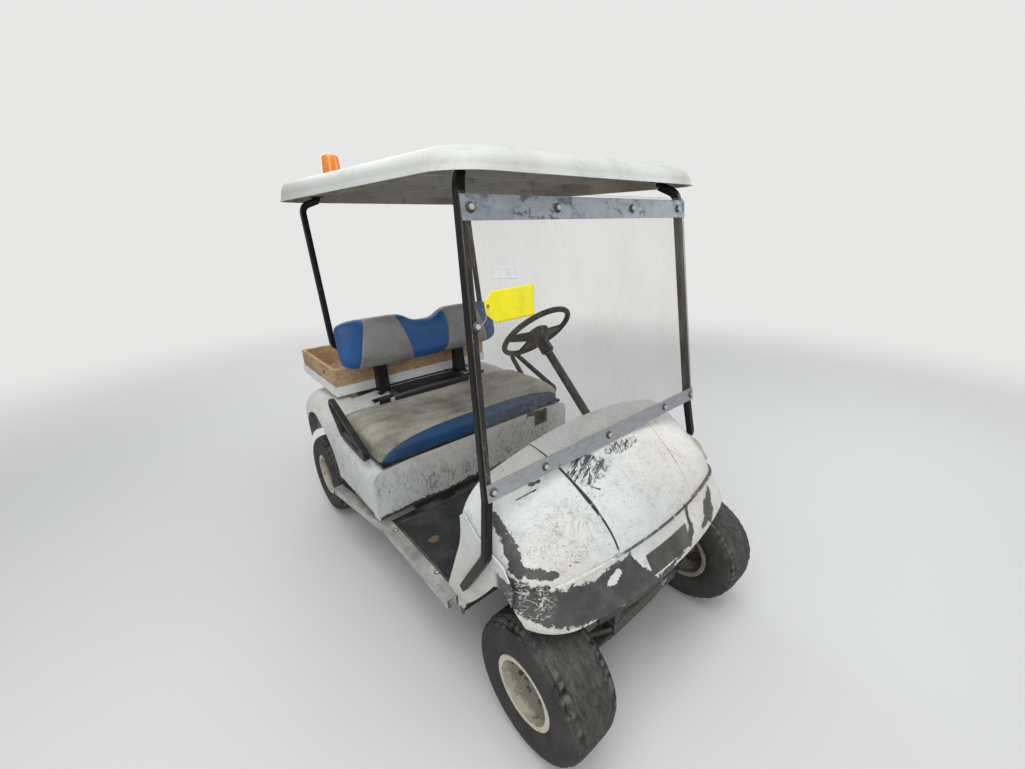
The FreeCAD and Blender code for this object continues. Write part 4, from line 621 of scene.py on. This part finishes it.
def grid(name, points, wrap_rows=False, wrap_columns=False, caps=False):
    """A mesh from an array of shape (rows, columns, 3); caps fill the first and last row with a fan."""
    rows, columns = points.shape[:2]
    index = np.arange(rows * columns).reshape(rows, columns)
    if wrap_rows:
        index = np.vstack([index, index[:1]])
    if wrap_columns:
        index = np.hstack([index, index[:, :1]])
    faces = np.stack([index[:-1, :-1], index[:-1, 1:], index[1:, 1:], index[1:, :-1]], -1).reshape(-1, 4)
    spots, faces = points.reshape(-1, 3), faces.tolist()
    if caps:
        spots = np.vstack([spots, points[0].mean(0), points[-1].mean(0)])
        first, last = index[0].tolist(), index[-1].tolist()
        faces += [[rows * columns, b, a] for a, b in zip(first, first[1:])]
        faces += [[rows * columns + 1, a, b] for a, b in zip(last, last[1:])]
    mesh = bpy.data.meshes.new(name)
    mesh.from_pydata(spots.tolist(), [], faces)
    mesh.update()
    return mesh


def outwards(mesh):
    """Merges doubled points, and turns the faces so that a closed mesh has its outside out."""
    work = bmesh.new()
    work.from_mesh(mesh)
    bmesh.ops.remove_doubles(work, verts=work.verts, dist=1e-6)
    bmesh.ops.recalc_face_normals(work, faces=work.faces)
    work.to_mesh(mesh)
    work.free()
    return mesh


def joined(name, meshes):
    """One mesh from several, as small things that share a body are."""
    work = bmesh.new()
    for mesh in meshes:
        work.from_mesh(mesh)
    out = bpy.data.meshes.new(name)
    work.to_mesh(out)
    work.free()
    for mesh in meshes:
        bpy.data.meshes.remove(mesh)
    return out


# %% Objects


def placed(name, data):
    """An object in the scene for a mesh, a lamp or a camera."""
    thing = bpy.data.objects.new(name, data)
    bpy.context.scene.collection.objects.link(thing)
    return thing


def piece(mesh, body, material, smooth=True):
    """An object for the mesh, riding on a body and finished with a material."""
    thing = placed(mesh.name, mesh)
    mesh.materials.clear()
    mesh.materials.append(material)
    mesh.polygons.foreach_set("use_smooth", [smooth] * len(mesh.polygons))
    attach(thing, body)
    return thing


# %% Sweeps and lathes


def square_to(axis):
    """A direction square to an axis: its cross product with Z, or with X where the axis runs near Z."""
    side = np.cross(axis, (0, 0, 1.0) if abs(axis[2]) < 0.9 else (1.0, 0, 0))
    return side / np.linalg.norm(side)


def sweep(name, path, section):
    """A closed section of (across, up) points, carried along a path without twist: at each point of the path the
    last side direction loses its part along the path's own direction."""
    ahead = np.gradient(path, axis=0)
    ahead /= np.linalg.norm(ahead, axis=1, keepdims=True)
    sides = [square_to(ahead[0])]
    for way in ahead[1:]:
        side = sides[-1] - way * (sides[-1] @ way)
        sides.append(side / np.linalg.norm(side))
    side, up = np.array(sides), np.cross(ahead, sides)
    points = path[:, None] + side[:, None] * section[None, :, :1] + up[:, None] * section[None, :, 1:]
    return outwards(grid(name, points, wrap_columns=True, caps=True))


def circle(count):
    """Angles evenly round a full turn."""
    return np.linspace(0, 2 * np.pi, count, endpoint=False)


def lathe(name, profile, centre, axis, steps):
    """A profile of (along, radius) points turned about an axis; it closes where its ends lie on the axis or meet."""
    along, radius = np.array(profile, float).T[..., None, None]
    axis = np.asarray(axis, float) / np.linalg.norm(axis)
    side, turn = square_to(axis), circle(steps)[:, None]
    spokes = side * np.cos(turn) + np.cross(axis, side) * np.sin(turn)
    return outwards(grid(name, centre + axis * along + spokes * radius, wrap_columns=True))


def keep(mesh, name, values):
    """Stores one number a point, which the finish reads by name."""
    layer = mesh.attributes.new(name, "FLOAT", "POINT")
    layer.data.foreach_set("value", values.astype(np.float32))


def bell(x, middle, width):
    """1 where x is at the middle, and falling away on both sides over the width, as a Gaussian does."""
    return np.exp(-((x - middle) / width) ** 2)


# %% [markdown]
# ## Tyres
# The tyres are wide, round-shouldered and worn almost smooth: only shallow grooves are left near the shoulders, with
# short cuts across them. The radius at each place is the worn casing less a groove, where a groove is a narrow dip
# of the distance across, broken up by the angle round the wheel.

# %% Tyre rubber


def rubber():
    f = Finish("tyre_rubber")
    sunk, tread = f.attribute("sunk"), f.attribute("tread")
    dust = f.noise(9.0, 6.0, 0.65).rise(0.34, 0.74)
    fine = f.noise(70.0, 5.0, 0.7)
    cracks = f.scratches(16.0, (80, 10, 20), 0.008, 5.0, 0.5)
    crumbs = f.noise(150.0, 4.0, 0.7).rise(0.56, 0.66) * f.noise(14.0, 4.0, 0.6).rise(0.40, 0.62)
    scrubbed = f.noise(34.0, 7.0, 0.78, f.turned(scale=(1.5, 0.6, 0.6))).rise(0.42, 0.62)
    colour = f.mix(dust * 0.45 + fine.rise(0.5, 0.8) * 0.25, (0.020, 0.020, 0.021), (0.095, 0.090, 0.080))
    colour = f.mix(crumbs * 0.45, colour, (0.15, 0.145, 0.13))
    colour = f.mix(scrubbed * tread * 0.6, colour, (0.105, 0.105, 0.092))
    # painted shade: the deeper a groove, cut or torn spot, the darker; where the tread stands higher it is lighter
    colour = f.mix(sunk.rise(0.25, 0.9) * 0.9, colour, (0.008, 0.008, 0.008))
    colour = f.mix(sunk.rise(0.08, -0.25) * 0.5, colour, (0.14, 0.135, 0.12))
    return f.done(colour, 0.70 + dust * 0.15, height=fine * 0.7 - cracks * 0.6 + crumbs * 0.2, depth=0.0014,
                  specular_ior_level=0.2)


RUBBER = rubber()

# %% Worn tread
# across the tyre from its middle plane, as a share of half its width, and radius as a share of the tyre's own
TYRE_HALF = ((0.0, 1.0), (0.28, 0.999), (0.52, 0.993), (0.70, 0.977), (0.82, 0.952), (0.915, 0.905), (0.972, 0.83),
             (1.0, 0.73), (0.985, 0.63), (0.935, 0.565), (0.885, 0.534), (0.845, 0.512), (0.80, 0.470))
BEAD = 0.47             # where the tyre meets the rim, as a share of its radius
GROOVES = ((-0.79, 0.020), (-0.60, 0.014), (0.60, 0.014), (0.79, 0.020))      # place and width across the tyre


def uneven(around, across, seed, waves=26, low=5, high=60, slant=14.0):
    """Irregular waves over the tread: cosines with whole numbers of waves round the wheel, so that they close."""
    draw = np.random.default_rng(seed)
    total = np.zeros(np.broadcast(around, across).shape)
    for count, slope, turn in zip(draw.integers(low, high, waves), draw.uniform(-slant, slant, waves),
                                  draw.uniform(0, 2 * np.pi, waves)):
        total += np.cos(count * around + slope * across + turn)
    return total / math.sqrt(waves / 2)


def casing_curve():
    """The tyre's section as 120 (share across, share of the radius) points, rounded by averaging with neighbours."""
    half = np.array(TYRE_HALF)
    spots = np.vstack([half[::-1] * (-1, 1), half[1:]])
    run = np.r_[0, np.cumsum(np.linalg.norm(np.diff(spots, axis=0), axis=1))]
    even = np.linspace(0, run[-1], 120)
    curve = np.stack([np.interp(even, run, spots[:, k]) for k in (0, 1)], 1)
    for _ in range(6):
        curve[1:-1] = (curve[:-2] + 2 * curve[1:-1] + curve[2:]) / 4
    return curve[:, 0], curve[:, 1] / curve[:, 1].max()


def tyre_mesh(name, centre, outward, seed):
    """The casing as a closed profile, swept round; grooves near the shoulders and torn rubber lower its radius, and
    two raised rings stand on the sidewalls. A fifth of the points serve for the inner wall."""
    low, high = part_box(name)
    radius, half_width = (high.z - low.z) / 2, (high.x - low.x) / 2
    share, reach = casing_curve()
    around = circle(300)[:, None]
    torn = uneven(around, share, seed)
    patchy = 0.5 + 0.5 * np.tanh(uneven(around, share, seed + 9, 10, 1, 7, 3.0))
    groove = sum(bell(share - 0.008 * torn, place, wide) for place, wide in GROOVES)
    cuts = bell(np.sin(around * 30 + share * 4), 0, 0.2) * bell(abs(share), 0.88, 0.05)
    band = bell(abs(share), 0.70, 0.12)
    tread = (abs(share) < 0.93) & (reach > 0.85)
    rough = (0.0007 + 0.0022 * band * patchy) * (1 + torn).clip(0)
    depth = tread * (0.0042 * groove * (0.35 + 0.65 * patchy) + 0.0006 * cuts + rough)
    sunk = tread * (groove * (0.3 + 0.7 * patchy) + 0.12 * cuts + 0.45 * band * patchy * (torn - 0.2))
    rings = 0.0010 * (bell(reach, 0.60, 0.008) + bell(reach, 0.80, 0.006)) * (abs(share) > 0.85)
    outer = np.minimum(reach * radius + rings - depth, radius - 0.0002)
    across = np.broadcast_to(share * half_width, outer.shape)
    inner = slice(None, None, -5)
    wall = radius * BEAD + (outer[:, inner] - radius * BEAD) * 0.88
    outer = np.concatenate([outer, wall], 1)
    sunk = np.concatenate([sunk, sunk[:, inner] * 0], 1)
    across = np.concatenate([across, across[:, inner] * 0.90], 1)
    points = centre + np.stack([outward * across, outer * np.cos(around), outer * np.sin(around)], -1)
    mesh = grid(name + "_worn", points, wrap_rows=True, wrap_columns=True)
    keep(mesh, "sunk", sunk.ravel())
    flat = np.clip((0.90 - abs(across) / half_width) / 0.12, 0, 1)
    keep(mesh, "tread", (flat * (outer > 0.8 * radius)).ravel())
    return outwards(mesh)


# %% Four tyres


def side_of(hub):
    """1 on the cart's left, where X is larger, and -1 on its right."""
    return 1 if hub[0] > MIDDLE[0] else -1


for number, (wheel, hub) in enumerate(HUBS.items()):
    node = wheel.replace("_wheel", "_tyre")
    shape = tyre_mesh(node, hub, side_of(hub), 20 + number)
    casing = piece(shape, wheel, RUBBER)
    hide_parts(node)
    print(casing.name, len(shape.polygons), "faces")

# %% [markdown]
# ## Bolts, washers and rivets
# The windshield hangs between two metal bars held by bolts. Each bolt is two turned profiles: a dark dished washer
# and a bright head with six sides, which is a lathe of only six steps. The bars lean with the windshield, so their
# places are worked out on its plane. The rockers have a rivet with a thin washer near each end.

# %% Bolts and rivets
SHIELD_Y, SHIELD_Z = -697, 894                                      # a line of the bars' front plane, in millimetres
LEAN = np.array([0, 109.0, 730.0]) / math.hypot(109.0, 730.0)       # up along the windshield
AHEAD = np.array([0, -LEAN[2], LEAN[1]])                            # square to it, forwards
# each bar's half length, the height of its bolts, and their places as shares of the half length
BARS = ((503, 1594.3, (-0.95, -0.36, 0.34, 0.9)), (544, 868.3, (-0.965, -0.6, -0.04, 0.6, 0.965)))
TAG_BOLT = (-503, 1314)
# (along, radius) in metres
WASHER = ((-0.0002, 0.0), (-0.0002, 0.0135), (0.0022, 0.0132), (0.0046, 0.0100), (0.0046, 0.0))
HEAD = ((0.0044, 0.0), (0.0044, 0.0078), (0.0082, 0.0078), (0.0094, 0.0066), (0.0094, 0.0))
DOME = ((-0.0002, 0.0), (-0.0002, 0.0075), (0.0010, 0.0070), (0.0026, 0.0045), (0.0032, 0.0015), (0.0032, 0.0))
RING = ((-0.0003, 0.0), (-0.0003, 0.0115), (0.0006, 0.0112), (0.0008, 0.0))


def on_shield(x, z, out=0.0):
    """The points of the bars' front plane at those places and heights, moved out by so many millimetres."""
    y = SHIELD_Y + (z - SHIELD_Z) * LEAN[1] / LEAN[2]
    return at(x, y, z) + np.multiply.outer(out, AHEAD) / 1000


def turned_set(name, profile, places, axis, steps):
    """The same lathe at several places, as one mesh."""
    return joined(name, [lathe(name, profile, place, axis, steps) for place in places])


ZINC = enamel("zinc_hardware", (0.42, 0.42, 0.41), 0.5, 0.25, 0.2, (0.62, 0.62, 0.60))
DARK_STEEL = enamel("dark_hardware", (0.05, 0.05, 0.052), 0.5, 0.3, 0.3)
bolts = [on_shield(share * half, height) for half, height, shares in BARS for share in shares]
bolts.append(on_shield(*TAG_BOLT, -3.4))
piece(turned_set("bar_washers", WASHER, bolts, AHEAD, 40), "cart", DARK_STEEL)
piece(turned_set("bar_bolts", HEAD, bolts, AHEAD, 6), "cart", ZINC, smooth=False)
rivets = [at(side * x, y, 352.0) for side in (-1, 1) for x, y in ((559, -41), (549, -359))]
piece(turned_set("rocker_washers", RING, rivets, (0, 0, 1), 24), "cart", DARK_STEEL)
piece(turned_set("rocker_rivets", DOME, rivets, (0, 0, 1), 24), "cart", ZINC)
print("bolts", len(bolts), "rivets", len(rivets))

# %% [markdown]
# ## Valve stems
# Each rim has a rubber valve stem near its edge. It turns with the wheel, so it rides on the wheel's body, and its
# profile is a thick foot, a thin neck and a cap.

# %% Valve stems
STEM = ((0.0, 0.0), (0.0, 0.0055), (0.012, 0.0050), (0.013, 0.0036), (0.030, 0.0036), (0.031, 0.0030),
        (0.034, 0.0028), (0.034, 0.0))
STEM_OUT, STEM_BACK, STEM_UP = 0.046, 0.060, 0.052      # its foot from the wheel's hub, in metres
for wheel, hub in HUBS.items():
    side = side_of(hub)
    foot = hub + (side * STEM_OUT, STEM_BACK, STEM_UP)
    piece(lathe(wheel + "_valve", STEM, foot, (side, 0, 0), 20), wheel, DARK_STEEL)
print("valve stems", len(HUBS))

# %% [markdown]
# ## Tag and sticker
# A blank yellow card tag is tied to a bolt of the windshield, and a blank paper sticker is on the sheet. Both are
# thin sheets between four corners; the tag's middle bows away from the sheet as stiff card does.

# %% Tag and sticker
TAG = ((-474, 1396), (-299, 1400), (-309, 1317), (-470, 1315))              # corners (x, z) on the windshield
STICKER = ((-429, 1455), (-353, 1450), (-358, 1419), (-434, 1426))
EYE = on_shield(-463, 1360, 0.2)
EYELET = ((-0.0006, 0.0020), (-0.0006, 0.0042), (0.0, 0.0048), (0.0006, 0.0042), (0.0006, 0.0020), (-0.0006, 0.0020))
TIE_RADIUS = 0.0007


def card(name, corners, out, bow, thick, cut=0.0):
    """A grid between four (x, z) corners on the windshield's plane, bowed forwards as a half wave along its length;
    cut is the share of the length over which the first end narrows, which chamfers its two corners."""
    u, v = np.meshgrid(np.linspace(0, 1, 40), np.linspace(0, 1, 16), indexing="ij")
    if cut:
        v = 0.5 + (v - 0.5) * (1 - 0.62 * np.clip(1 - u / cut, 0, 1))
    x, z = ((1 - u) * (1 - v) * a + u * (1 - v) * b + u * v * c + (1 - u) * v * d for a, b, c, d in zip(*corners))
    lift = out + bow * np.sin(np.pi * u) + 0.4 * bow * v * u
    front, back = on_shield(x, z, lift), on_shield(x, z, lift - thick)
    return outwards(grid(name, np.concatenate([front, back[:, ::-1]], 1), wrap_columns=True, caps=True))


def paper(name, colour, soiled):
    """Card or paper: clouds of dirt on a fine fibre."""
    f = Finish(name)
    dirt = f.noise(24.0, 5.0, 0.65).rise(0.42, 0.75)
    relief = f.noise(400.0, 3.0, 0.6) * 0.3 + f.noise(12.0, 2.0)
    return f.done(f.mix(dirt * 0.45, colour, soiled), 0.55 + dirt * 0.15, height=relief, depth=0.0006)


def tie(name, start, end):
    """A short wire between two points, bowed forwards; the path is a half wave, so both ends meet what they hold."""
    t = np.linspace(0, 1, 24)[:, None]
    path = start + (end - start) * t + (AHEAD * 0.006 - LEAN * 0.010) * np.sin(np.pi * t)
    turn = circle(10)
    return sweep(name, path, TIE_RADIUS * np.stack([np.cos(turn), np.sin(turn)], 1))


piece(card("blank_tag", TAG, -1.5, 4.0, 0.5, 0.16), "cart",
      paper("yellow_card", (0.80, 0.72, 0.006), (0.52, 0.44, 0.02)))
piece(card("blank_sticker", STICKER, -3.1, 0.0, 0.3), "cart",
      paper("white_paper", (0.66, 0.68, 0.68), (0.40, 0.42, 0.42)))
piece(lathe("tag_eyelet", EYELET, EYE, AHEAD, 24), "cart",
      paper("brown_fibre", (0.20, 0.09, 0.03), (0.10, 0.05, 0.02)))
piece(tie("tag_tie", EYE + AHEAD * 0.0008, on_shield(*TAG_BOLT, 1.5)), "cart", ZINC)
print("tag and sticker made")

# %% [markdown]
# ## Padding
# The seat and its back are foam under vinyl. A pad starts as a closed grid a little smaller than the real thing. The
# cloth solver then inflates it for twenty frames, which rounds the faces and pulls the corners in as a stretched
# cover does. Its movement is capped so that it stays in its place, and the seams are pressed in afterwards.

# %% Inflating a pad
VOXEL, PRESSURE, FRAMES = 0.008, 4.0, 20
CAP = 0.010                                 # metres that a point may move
SEAM_DEPTH, SEAM_WIDTH = 0.0022, 0.0045


def evaluated(thing):
    """A new mesh of the object with its modifiers applied."""
    return bpy.data.meshes.new_from_object(thing.evaluated_get(bpy.context.evaluated_depsgraph_get()))


def points_of(mesh):
    """The mesh's points as an array of shape (points, 3)."""
    spots = np.empty(len(mesh.vertices) * 3)
    mesh.vertices.foreach_get("co", spots)
    return spots.reshape(-1, 3)


def inflated(mesh):
    """Voxel remesh, twenty frames of cloth under pressure, no point further than the cap, and one subdivision."""
    scene = bpy.context.scene
    thing = placed(mesh.name + "_work", mesh)
    remesh = thing.modifiers.new("remesh", "REMESH")
    remesh.mode, remesh.voxel_size = "VOXEL", VOXEL
    start = evaluated(thing)
    thing.modifiers.clear()
    thing.data = start
    rest = points_of(start)
    cloth = thing.modifiers.new("cloth", "CLOTH").settings
    cloth.use_pressure = True
    cloth.uniform_pressure_force = PRESSURE
    cloth.effector_weights.gravity = 0
    cloth.quality = 6
    for number in range(1, FRAMES + 1):
        scene.frame_set(number)
    step = points_of(evaluated(thing)) - rest
    far = np.linalg.norm(step, axis=1, keepdims=True)
    rest = rest + step * np.minimum(1, CAP / np.maximum(far, 1e-9))
    thing.modifiers.clear()
    scene.frame_set(1)
    start.vertices.foreach_set("co", rest.ravel())
    finer = thing.modifiers.new("finer", "SUBSURF")
    finer.levels = finer.render_levels = 1
    out = evaluated(thing)
    bpy.data.objects.remove(thing)
    out.name = mesh.name.split(".")[0] + "_padded"
    return out


# %% Seams


def press_seam(mesh, distance):
    """Moves points in along their normals where the seam's signed distance, in metres, is near zero."""
    normals = np.empty(len(mesh.vertices) * 3)
    mesh.vertex_normals.foreach_get("vector", normals)
    sunk = SEAM_DEPTH * bell(distance, 0, SEAM_WIDTH)
    spots = points_of(mesh) - normals.reshape(-1, 3) * sunk[:, None]
    mesh.vertices.foreach_set("co", spots.ravel())
    mesh.update()


def upholstered(mesh, seam_of, body, material):
    """The inflated pad with its seam pressed in; the seam's distance also tells the finish which colour is where."""
    pad = inflated(mesh)
    seam = seam_of(points_of(pad))
    press_seam(pad, seam)
    keep(pad, "seam", seam)
    print(pad.name, len(pad.polygons), "faces")
    return piece(pad, body, material)


# %% Vinyl


def vinyl(name, plain, dirt_colour, dirt, deep):
    """Two colours of vinyl that meet at the seam attribute's zero, with stitches, grain and ground-in dirt."""
    f = Finish(name)
    seam = f.attribute("seam") * 1000.0
    cloud = f.noise(6.0, 6.0, 0.62).rise(0.36, 0.70)
    streak = f.noise(9.0, 6.0, 0.7, f.turned((0, 0, 6), (0.35, 2.0, 1))).rise(0.42, 0.68)
    worn = (cloud * 0.6 + streak * 0.4) * dirt
    blue = f.mix(f.noise(4.0, 3.0).rise(0.3, 0.7), deep, tuple(c * 0.65 for c in deep))
    blue = f.mix(worn * 0.32, blue, (0.05, 0.07, 0.10))
    smudge = f.noise(22.0, 7.0, 0.76, f.turned((0, 0, 4), (0.5, 1.4, 1))).rise(0.55, 0.72) * dirt
    grey = f.mix(smudge * 0.55, f.mix(worn, plain, dirt_colour), (0.085, 0.078, 0.065))
    colour = f.mix(seam.rise(0.6, -0.6), grey, blue)
    line = abs(seam).rise(2.6, 1.2)
    colour = f.mix(line * 0.55, colour, (0.03, 0.03, 0.032))
    grain = f.cells(560.0) * 0.5 + f.noise(900.0, 2.0) * 0.3
    folds = f.noise(26.0, 4.0, 0.6, f.turned(scale=(0.5, 1, 1)))
    return f.done(colour, 0.5 + worn * 0.2, height=grain * 0.25 + folds * 0.7 - line * 0.6, depth=0.0009)


# %% Sections of a pad


def superoval(turn, power_across, power_up):
    """A circle drawn out towards a rectangle: cosine and sine, each to a power below one with its sign kept."""
    c, s = np.cos(turn), np.sin(turn)
    return np.sign(c) * abs(c) ** power_across, np.sign(s) * abs(s) ** power_up


def crowded(count, power):
    """Places from -1 to 1 that stand closer together towards both ends."""
    t = np.linspace(-1, 1, count)
    return np.sign(t) * (1 - (1 - abs(t)) ** power)


# %% [markdown]
# ## Seat cushion
# The cushion is a tan bench with a blue front panel. The panel's seam runs along the top of the front edge and dives
# to the bottom at both ends. Height above the base plus a share of the distance back from the front is compared with
# an arch over the width, and the seam is where the two are equal.

# %% Seat cushion
CUSHION_LOW, CUSHION_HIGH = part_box("seat_cushion")


def bench():
    """Sections across the seat: a high rounded front, a crowned top and a tucked rear, with round ends in plan."""
    low, high = np.array(CUSHION_LOW), np.array(CUSHION_HIGH)
    (x0, y0, z0), (x1, y1, z1) = low + (0.007, 0.007, -0.001), high - (0.007, 0.005, 0.009)
    turn = circle(112)
    power = np.where(np.sin(turn) > 0, 0.34, 0.12)
    oval_y, oval_z = superoval(turn, power, power)
    t = crowded(110, 1.6)
    end = (1 - abs(t) ** 11.0).clip(0) ** 0.5
    bow = 0.046 * (1 - (1 - ((abs(t) - 0.86) / 0.14).clip(0) ** 2).clip(0) ** 0.5)
    front, rear = (y0 + bow)[:, None], (y1 - 0.4 * bow)[:, None]
    y = (front + rear) / 2 + oval_y * (rear - front) / 2
    x = np.broadcast_to(((x0 + x1) / 2 + t * (x1 - x0) / 2)[:, None], y.shape)
    rise = (oval_z * 0.5 + 0.5) * (0.72 + 0.28 * end)[:, None]
    upper = rise > 0.5
    forward = np.clip((y0 + 0.13 - y) / 0.13, 0, 1)
    crown = np.sin(np.pi * (y - y0) / (y1 - y0)).clip(0)
    z = z0 + rise * (z1 - z0) * (1 - 0.22 * forward ** 2 * upper)
    z = z + 0.008 * crown * upper * (0.4 + 0.6 * end[:, None])
    return outwards(grid("seat_bench", np.stack([x, y, z], -1), wrap_columns=True, caps=True))


def bench_seam(spots):
    """Height above the base and a share of the distance back, less the arch; negative on the blue front."""
    half = (CUSHION_HIGH.x - CUSHION_LOW.x) / 2 + 0.002
    share = np.clip(abs(spots[:, 0] - MIDDLE[0]) / half, 0, 1)
    arch = 0.150 * np.clip(1 - share ** 3.0, 0, 1) ** 0.6
    return (spots[:, 2] - CUSHION_LOW.z) + 1.15 * np.clip(spots[:, 1] - CUSHION_LOW.y - 0.012, 0, None) - arch


cushion = upholstered(bench(), bench_seam, "seat",
                      vinyl("cushion_vinyl", (0.36, 0.34, 0.275), (0.105, 0.10, 0.083), 0.95, (0.009, 0.062, 0.165)))
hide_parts("seat_cushion")

# %% [markdown]
# ## Backrest bolster
# The backrest is a fat bar with a scoop in the middle of its top edge, grey with blue ends and a blue middle panel
# that flares towards the top. The signed distance to the nearest of the three seams is the seam attribute, negative
# on the blue side.

# %% Backrest
BOLSTER_LOW, BOLSTER_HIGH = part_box("seat_back")
BOLSTER_LEAN = 0.18         # how far it leans back for each metre up


def bolster():
    """Rounded sections along the width, lower in the middle where the scoop is, and closing at both ends."""
    low, high = np.array(BOLSTER_LOW), np.array(BOLSTER_HIGH)
    half_x, half_y, half_z = (high - low) / 2 - (0.008, 0.004, 0.007)
    half_y -= BOLSTER_LEAN * half_z
    oval_y, oval_z = superoval(circle(88), 0.62, 0.52)
    t = crowded(140, 1.4)
    x = (t * half_x)[:, None]
    end = (1 - abs(t[:, None]) ** 7.0) ** 0.5
    top = half_z * (0.60 + 0.40 * end) - 0.046 * np.exp(-abs((x - 0.004) / 0.106) ** 3.4)
    bottom = -half_z * (0.62 + 0.38 * end)
    z = (top + bottom) / 2 + oval_z * (top - bottom) / 2
    y = oval_y * half_y * (0.5 + 0.5 * end) + BOLSTER_LEAN * z
    points = (low + high) / 2 + np.stack([np.broadcast_to(x, y.shape), y, z], -1)
    return outwards(grid("back_bolster", points, wrap_columns=True, caps=True))


def bolster_seam(spots):
    """The middle panel lies between its left and right seams, and an end lies beyond the third."""
    x = spots[:, 0] - (BOLSTER_LOW.x + BOLSTER_HIGH.x) / 2
    rise = np.clip((spots[:, 2] - BOLSTER_LOW.z) / (BOLSTER_HIGH.z - BOLSTER_LOW.z), 0, 1)
    left = np.interp(rise, (0, 0.5, 1), (-0.091, -0.120, -0.165))
    right = np.interp(rise, (0, 0.3, 0.6, 1), (0.084, 0.118, 0.129, 0.122))
    return np.minimum(np.maximum(left - x, x - right), 0.410 - 0.075 * rise - abs(x))


backrest = upholstered(bolster(), bolster_seam, "cart",
                       vinyl("bolster_vinyl", (0.235, 0.24, 0.235), (0.11, 0.105, 0.09), 0.7, (0.007, 0.085, 0.28)))
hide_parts("seat_back")

# %% [markdown]
# ## Camera, light and floor
# The photograph was taken standing up, close to the right front corner, with a very wide lens. The camera's place and
# angles were fitted to the wheels and bars of the cart. Soft light comes from overhead lamps; a pale floor and
# backdrop show only to the camera as plain white, so that they don't bleach the cart.

# %% Camera
EYE_POINT = at(-1111.05, -1494.75, 1554.70)
YAW, PITCH, ROLL = 0.695, 0.361, -0.022         # radians
PHOTO_WIDTH, FOCAL = 1025, 425.34               # pixels


def camera():
    """Looks along yaw, from +Y towards +X, and pitch down, then rolls about its own axis."""
    ahead = np.array([math.sin(YAW) * math.cos(PITCH), math.cos(YAW) * math.cos(PITCH), -math.sin(PITCH)])
    level = np.array([math.cos(YAW), -math.sin(YAW), 0])
    up = np.cross(level, ahead)
    right = level * math.cos(ROLL) + up * math.sin(ROLL)
    top = -level * math.sin(ROLL) + up * math.cos(ROLL)
    data = bpy.data.cameras.new("camera")
    data.sensor_width = 36.0
    data.lens = FOCAL / PHOTO_WIDTH * data.sensor_width
    data.clip_start = 0.05
    thing = placed("camera", data)
    columns = np.column_stack([right, top, -ahead, EYE_POINT])
    thing.matrix_world = Matrix(np.vstack([columns, (0, 0, 0, 1)]).tolist())
    bpy.context.scene.camera = thing
    print("lens", round(data.lens, 2), "mm")


camera()

# %% Lamps


def lamp(name, place, aim, size, power, colour=(1, 1, 1)):
    """A square soft light that faces a point."""
    data = bpy.data.lights.new(name, "AREA")
    data.size, data.energy, data.color = size, power, colour
    way = Vector(aim) - Vector(place)
    placed(name, data).matrix_world = Matrix.Translation(place) @ way.to_track_quat("-Z", "Y").to_matrix().to_4x4()


lamp("overhead", at(-900, -900, 4300), at(0, 0, 500), 3.4, 120)
lamp("front", at(-3000, -3400, 2600), at(0, -300, 600), 2.6, 62, (1.0, 0.985, 0.96))
lamp("left_side", at(3600, -1600, 2600), at(0, 0, 700), 2.6, 46, (0.96, 0.98, 1.0))
lamp("behind", at(600, 4200, 3000), at(0, 300, 800), 2.8, 60)

# %% Floor and backdrop
ROOM = (0.93, 0.95, 1.0)            # what lights the cart
BACKDROP = (0.80, 0.80, 0.79)       # what the camera sees
FLOOR_REACH = 60.0                  # metres from the middle to each edge
FADE_START, FADE_END = 2.6, 6.5     # metres over which the floor turns into the backdrop


def shown_to_camera(tree, kind, strength):
    """The room's colour lights the scene; only the camera and clear sheets see the backdrop's."""
    rays = tree.nodes.new("ShaderNodeLightPath")
    seen = tree.nodes.new("ShaderNodeMath")
    seen.operation = "MAXIMUM"
    tree.links.new(rays.outputs["Is Camera Ray"], seen.inputs[0])
    tree.links.new(rays.outputs["Is Transmission Ray"], seen.inputs[1])
    both = tree.nodes.new("ShaderNodeMixShader")
    tree.links.new(seen.outputs[0], both.inputs[0])
    for number, (colour, power) in enumerate(((ROOM, strength), (BACKDROP, 1.0))):
        node = tree.nodes.new(kind)
        node.inputs[0].default_value, node.inputs[1].default_value = (*colour, 1), power
        tree.links.new(node.outputs[0], both.inputs[1 + number])
    return both


def studio():
    """A world that only lights."""
    world = bpy.data.worlds.new("studio")
    bpy.context.scene.world = world
    world.use_nodes = True
    world.node_tree.nodes.clear()
    both = shown_to_camera(world.node_tree, "ShaderNodeBackground", 0.50)
    out = world.node_tree.nodes.new("ShaderNodeOutputWorld")
    world.node_tree.links.new(both.outputs[0], out.inputs[0])


def pale_floor():
    """A floor that fades with the distance into an even pale backdrop."""
    edge = np.array([-FLOOR_REACH, FLOOR_REACH])
    mesh = grid("floor", np.stack(np.broadcast_arrays(edge[None], edge[:, None], 0), -1))
    f = Finish("floor_paint")
    mesh.materials.append(f.done((0.60, 0.60, 0.59), 0.7))
    far = f.vector("LENGTH", f.place, output=1).rise(FADE_START, FADE_END)
    glow = shown_to_camera(f.tree, "ShaderNodeEmission", 0.36)
    blend = f.tree.nodes.new("ShaderNodeMixShader")
    for number, out in enumerate((far.out, f.shader.outputs[0], glow.outputs[0])):
        f.tree.links.new(out, blend.inputs[number])
    f.tree.links.new(blend.outputs[0], f.sink.inputs[0])
    placed("floor", mesh)


studio()
pale_floor()
bpy.context.scene.view_settings.view_transform = "Standard"
